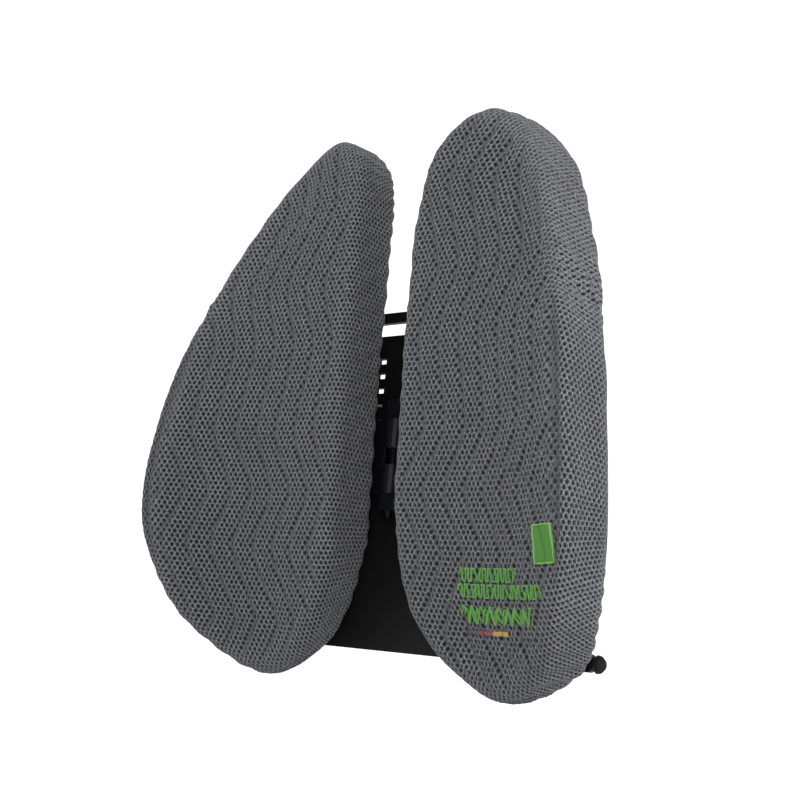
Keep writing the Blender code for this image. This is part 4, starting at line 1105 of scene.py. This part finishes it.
@dataclass
class Markings:
    """The small woven label and the plain stitched ornament near the foot of the right pad."""

    cover: PadCover
    label_u: float = 85.0 * MM
    label_v: float = -124.0 * MM
    half_width: float = 9.5 * MM
    half_height: float = 11.5 * MM
    thread_lift: float = 0.5 * MM
    thread_radius: float = 0.62 * MM
    points_per_mm: int = 7

    def patch(self, name: str, u: tuple[float, float], v: tuple[float, float], lift: float,
              dome: float, cells: tuple[int, int]) -> bpy.types.Object:
        """A closed low pillow that lies on the cover: height = lift + dome * (1 - a^4)(1 - b^4).

        Args:
            name: The piece's name.
            u: Its two ends across the pad.
            v: Its two ends up the pad.
            lift: Height of its edge over the cover.
            dome: Extra height of its middle.
            cells: Faces each way.

        Returns:
            The object, not yet dressed.
        """
        a, b = np.meshgrid(np.linspace(-1, 1, cells[0] + 1), np.linspace(-1, 1, cells[1] + 1))
        p = (u[0] + u[1]) / 2 + a * (u[1] - u[0]) / 2
        q = (v[0] + v[1]) / 2 + b * (v[1] - v[0]) / 2
        here, normal = normals_of(self.cover.quilted, p.ravel(), q.ravel())
        rise = lift + dome * ((1 - a**4) * (1 - b**4)).ravel()
        top = here + normal * rise[:, None]
        floor = here - normal * 0.6 * MM
        rows, columns = cells[1] + 1, cells[0] + 1
        upper = grid_faces(rows, columns)
        count = rows * columns
        ring = np.concatenate([np.arange(columns), np.arange(2, rows + 1) * columns - 1,
                               np.arange(count - 2, count - columns - 1, -1),
                               np.arange(rows - 2, 0, -1) * columns])
        after = np.roll(ring, -1)
        skirt = np.stack([ring, ring + count, after + count, after], -1)
        faces = np.concatenate([upper, upper[:, ::-1] + count, skirt])
        uv = np.tile(np.stack([p.ravel(), q.ravel()], 1), (2, 1))
        return make_mesh(name, self.cover.placed(np.concatenate([top, floor])), faces, uv)

    def build_label(self) -> None:
        """The label: a plain woven patch with a stitched border."""
        u = (self.label_u - self.half_width, self.label_u + self.half_width)
        v = (self.label_v - self.half_height, self.label_v + self.half_height)
        body = self.cover.body
        patch = self.patch("label_patch", u, v, 0.5 * MM, 0.5 * MM, (30, 36))
        place_piece(patch, body, Slot.LABEL_CLOTH, stands_for=("woven_label",))
        border = StitchFinish("label_border_thread", (0.20, 0.52, 0.08))
        wide, out = 0.9 * MM, 0.2 * MM
        bars = {"top": (u, (v[1] - wide, v[1] + out)), "foot": (u, (v[0] - out, v[0] + wide)),
                "inner": ((u[0] - out, u[0] + wide), v), "outer": ((u[1] - wide, u[1] + out), v)}
        for name, (across, up) in bars.items():
            bar = self.patch(f"label_border_{name}", across, up, 0.9 * MM, 0.5 * MM, (20, 20))
            place_piece(bar, body, Slot.LABEL_CLOTH, border)

    def build_rows(self) -> None:
        """Three rows of plain stitched ornament: square waves above, and crossing zigzags below."""
        thread = StitchFinish("green_thread", (0.16, 0.60, 0.055))
        for index, row in enumerate(ROWS):
            u = np.linspace(row.start, row.stop, int((row.stop - row.start) * self.points_per_mm))
            wave = np.sin(2 * np.pi * (u - row.start) / row.pitch)
            if row.square:
                wave = np.clip(wave / 0.35 * 1.25, -1, 1)
            else:
                wave = np.arcsin(0.97 * wave) / np.arcsin(0.97)
            v = (row.top + row.foot) / 2 + wave * (row.top - row.foot) / 2
            here, normal = normals_of(self.cover.quilted, u * MM, v * MM)
            path = self.cover.placed(here + normal * (self.thread_lift + row.lift))
            obj = make_mesh(f"stitched_row_{index}", *swept_tube(path, self.thread_radius, 6))
            place_piece(obj, self.cover.body, Slot.LABEL_CLOTH, thread)

    def build_line(self) -> None:
        """The short line of three colours below the rows."""
        for name, start, stop, colour in (("dark", -8.0, 7.0, (0.012, 0.012, 0.014)),
                                          ("rust", 7.0, 22.0, (0.20, 0.012, 0.01)),
                                          ("ochre", 22.0, 37.0, (0.55, 0.36, 0.06))):
            u, v = (start * MM, stop * MM), (-178.8 * MM, -175.9 * MM)
            bar = self.patch(f"stitched_line_{name}", u, v, self.thread_lift, 0.5 * MM, (20, 6))
            thread = StitchFinish(f"line_thread_{name}", colour)
            place_piece(bar, self.cover.body, Slot.LABEL_CLOTH, thread)

    def build(self) -> None:
        """The label, the rows and the line."""
        self.build_label()
        self.build_rows()
        self.build_line()


# ---------------------------------------------------------------- belts
@dataclass
class Belt:
    """One ribbed elastic strap, a flat closed loop round the carriage's bar and the middle ring."""

    side: Side
    low_z: float
    high_z: float
    near_x: float
    far_x: float
    low_y: float
    high_y: float
    wall: float = 1.1 * MM
    ribs: int = 9

    @classmethod
    def around(cls, side: Side) -> Belt:
        """A strap that takes the place of that side's CAD belt, with the same box."""
        node = frame["nodes"][f"{side.label}_belt"]
        corners = np.array([node.matrix_world @ Vector(c) for c in node.bound_box])
        low, high = corners.min(0), corners.max(0)
        reach = sorted((abs(low[0]), abs(high[0])))
        return cls(side, low[2], high[2], reach[0], reach[1], low[1], high[1])

    def build(self) -> None:
        """The loop: a racetrack in plan, carried up the strap's width with shallow ribs along it."""
        radius = (self.high_y - self.low_y) / 2 - 0.15 * MM
        middle = (self.high_y + self.low_y) / 2
        ends = (self.near_x + radius, self.far_x - radius)
        t = np.linspace(0, np.pi, 12)
        x = np.concatenate([ends[1] + radius * np.sin(t), ends[0] - radius * np.sin(t)])
        y = np.concatenate([middle - radius * np.cos(t), middle + radius * np.cos(t)])
        out_x, out_y = np.concatenate([np.sin(t), -np.sin(t)]), np.concatenate([-np.cos(t), np.cos(t)])
        z = np.linspace(self.low_z, self.high_z, 8 * self.ribs + 1)
        rib = -0.14 * MM * (1 - np.cos(2 * np.pi * self.ribs * (z - z[0]) / (z[-1] - z[0])))
        grid = np.broadcast_arrays(x + out_x * rib[:, None], y + out_y * rib[:, None], z[:, None])
        points = np.stack(grid, -1) * np.array([self.side.value, 1.0, 1.0])
        faces = grid_faces(len(z), len(x), False, True)
        faces = faces if self.side is Side.RIGHT else faces[:, ::-1]
        length = np.concatenate([[0], np.hypot(np.diff(x), np.diff(y)).cumsum()])
        uv = np.stack(np.broadcast_arrays(length[None], z[:, None]), -1).reshape(-1, 2)
        obj = make_mesh(f"{self.side.label}_strap", points.reshape(-1, 3), faces, uv)
        solid = obj.modifiers.new("wall", "SOLIDIFY")
        solid.thickness, solid.offset = self.wall, -1.0
        place_piece(obj, "carriage", Slot.WEBBING, stands_for=(f"{self.side.label}_belt",))


# ---------------------------------------------------------------- hardware
@dataclass
class Hardware:
    """Carried-over CAD solids: each gets the finish that its record slot names."""

    def dress(self) -> None:
        """Dresses every CAD node by the record's own slots."""
        finishes = {entry.slot: entry for entry in Slot}
        for part in frame["record"]["subparts"]:
            node = frame["nodes"][part["node"]]
            WARDROBE.dress(node, finishes[part["material_slot"]])
        LOG.info("dressed %d CAD nodes", len(frame["nodes"]))


# ---------------------------------------------------------------- studio
@dataclass
class Studio:
    """Pale floor and backdrop, soft lights and the camera."""

    target: Colour = (0.0, -0.083, 0.048)
    azimuth: float = 44.94
    elevation: float = -10.50
    roll: float = 5.706
    distance: float = 1.0498
    lens: float = 67.5
    shift: tuple[float, float] = (0.0282, -0.0442)
    floor_gap: float = 36.0 * MM  # clear of the foot where the base slides down
    half_width: float = 9.0
    reach: float = 6.0
    bend: float = 1.5
    lamps: tuple = (("key", (-1.0, -1.5, 1.1), 0.9, 10.0), ("front_fill", (1.5, -1.7, 0.3), 1.0, 34.0),
                    ("right_fill", (1.9, 0.1, 0.35), 0.8, 18.0))  # name, place, edge, watts
    world_strength: float = 0.45

    def build_floor(self) -> None:
        """A wide floor below the lowest point, which turns up into a backdrop behind."""
        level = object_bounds()[0].z - self.floor_gap
        t = np.linspace(0, np.pi / 2, 24)
        curve = (self.reach - self.bend + self.bend * np.sin(t), self.bend - self.bend * np.cos(t))
        y = np.concatenate([[-self.reach], curve[0], [self.reach]])[None, :, None]
        z = np.concatenate([[0.0], curve[1], [self.reach]])[None, :, None]
        x = np.array([-self.half_width, self.half_width])[:, None, None]
        turn = math.radians(self.azimuth)
        ahead = np.array([-math.sin(turn), math.cos(turn), 0.0])
        beside = np.array([math.cos(turn), math.sin(turn), 0.0])
        points = beside * x + ahead * y + np.array([0.0, 0.0, 1.0]) * (level + z)
        faces = grid_faces(2, y.shape[1])[:, ::-1]
        obj = make_mesh("studio_sweep", points.reshape(-1, 3), faces)
        WARDROBE.dress(obj, StudioFinish())
        obj.visible_diffuse = False  # so that its glow doesn't light the object from below
        obj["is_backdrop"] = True

    def build_lights(self) -> None:
        """A large key above and in front, softer square fills, and a bright pale world."""
        target = Vector(self.target)
        for name, place, size, power in self.lamps:
            data = bpy.data.lights.new(name, "AREA")
            data.shape, data.size, data.energy = "SQUARE", size, power
            lamp = bpy.data.objects.new(name, data)
            lamp.location = place
            lamp.rotation_euler = (target - Vector(place)).to_track_quat("-Z", "Y").to_euler()
            bpy.context.scene.collection.objects.link(lamp)
        world = bpy.data.worlds.new("studio_world")
        world.use_nodes = True
        sky = world.node_tree.nodes["Background"]
        sky.inputs["Color"].default_value = (1, 1, 1, 1)
        sky.inputs["Strength"].default_value = self.world_strength
        bpy.context.scene.world = world
        bpy.context.scene.view_settings.view_transform = "Standard"

    def build_camera(self) -> None:
        """The camera: low at the viewer's right, turned a little about its own line of sight."""
        a, e, r = (math.radians(x) for x in (self.azimuth, self.elevation, self.roll))
        back = Vector((math.sin(a) * math.cos(e), -math.cos(a) * math.cos(e), math.sin(e)))
        right = (-back).cross(Vector((0, 0, 1))).normalized()
        up = right.cross(-back)
        right, up = (right * math.cos(r) + up * math.sin(r),
                     up * math.cos(r) - right * math.sin(r))
        data = bpy.data.cameras.new("camera")
        data.lens, data.sensor_width = self.lens, 36.0
        data.shift_x, data.shift_y = self.shift
        data.clip_start, data.clip_end = 0.05, 60.0
        camera = bpy.data.objects.new("camera", data)
        turned = Matrix((right, up, back)).transposed().to_4x4()
        stand = Vector(self.target) + back * self.distance
        camera.matrix_world = Matrix.Translation(stand) @ turned
        bpy.context.scene.collection.objects.link(camera)
        bpy.context.scene.camera = camera

    def build(self) -> None:
        """Everything that isn't the object."""
        self.build_floor()
        self.build_lights()
        self.build_camera()


def main() -> None:
    """Builds each sub-assembly in order."""
    logging.basicConfig(level=logging.INFO, format="%(name)s %(message)s")
    Hardware().dress()
    surface = PadSurface()
    covers = {side: PadCover(side, surface) for side in Side}
    bulge = Bulge(surface, covers[Side.RIGHT].seam_beyond)
    bulge.simulate()
    for cover in covers.values():
        cover.swollen = bulge
    for cover in covers.values():
        cover.build()
    Markings(covers[Side.RIGHT]).build()
    for side in Side:
        Belt.around(side).build()
    Studio().build()


if __name__ == "__main__":
    main()
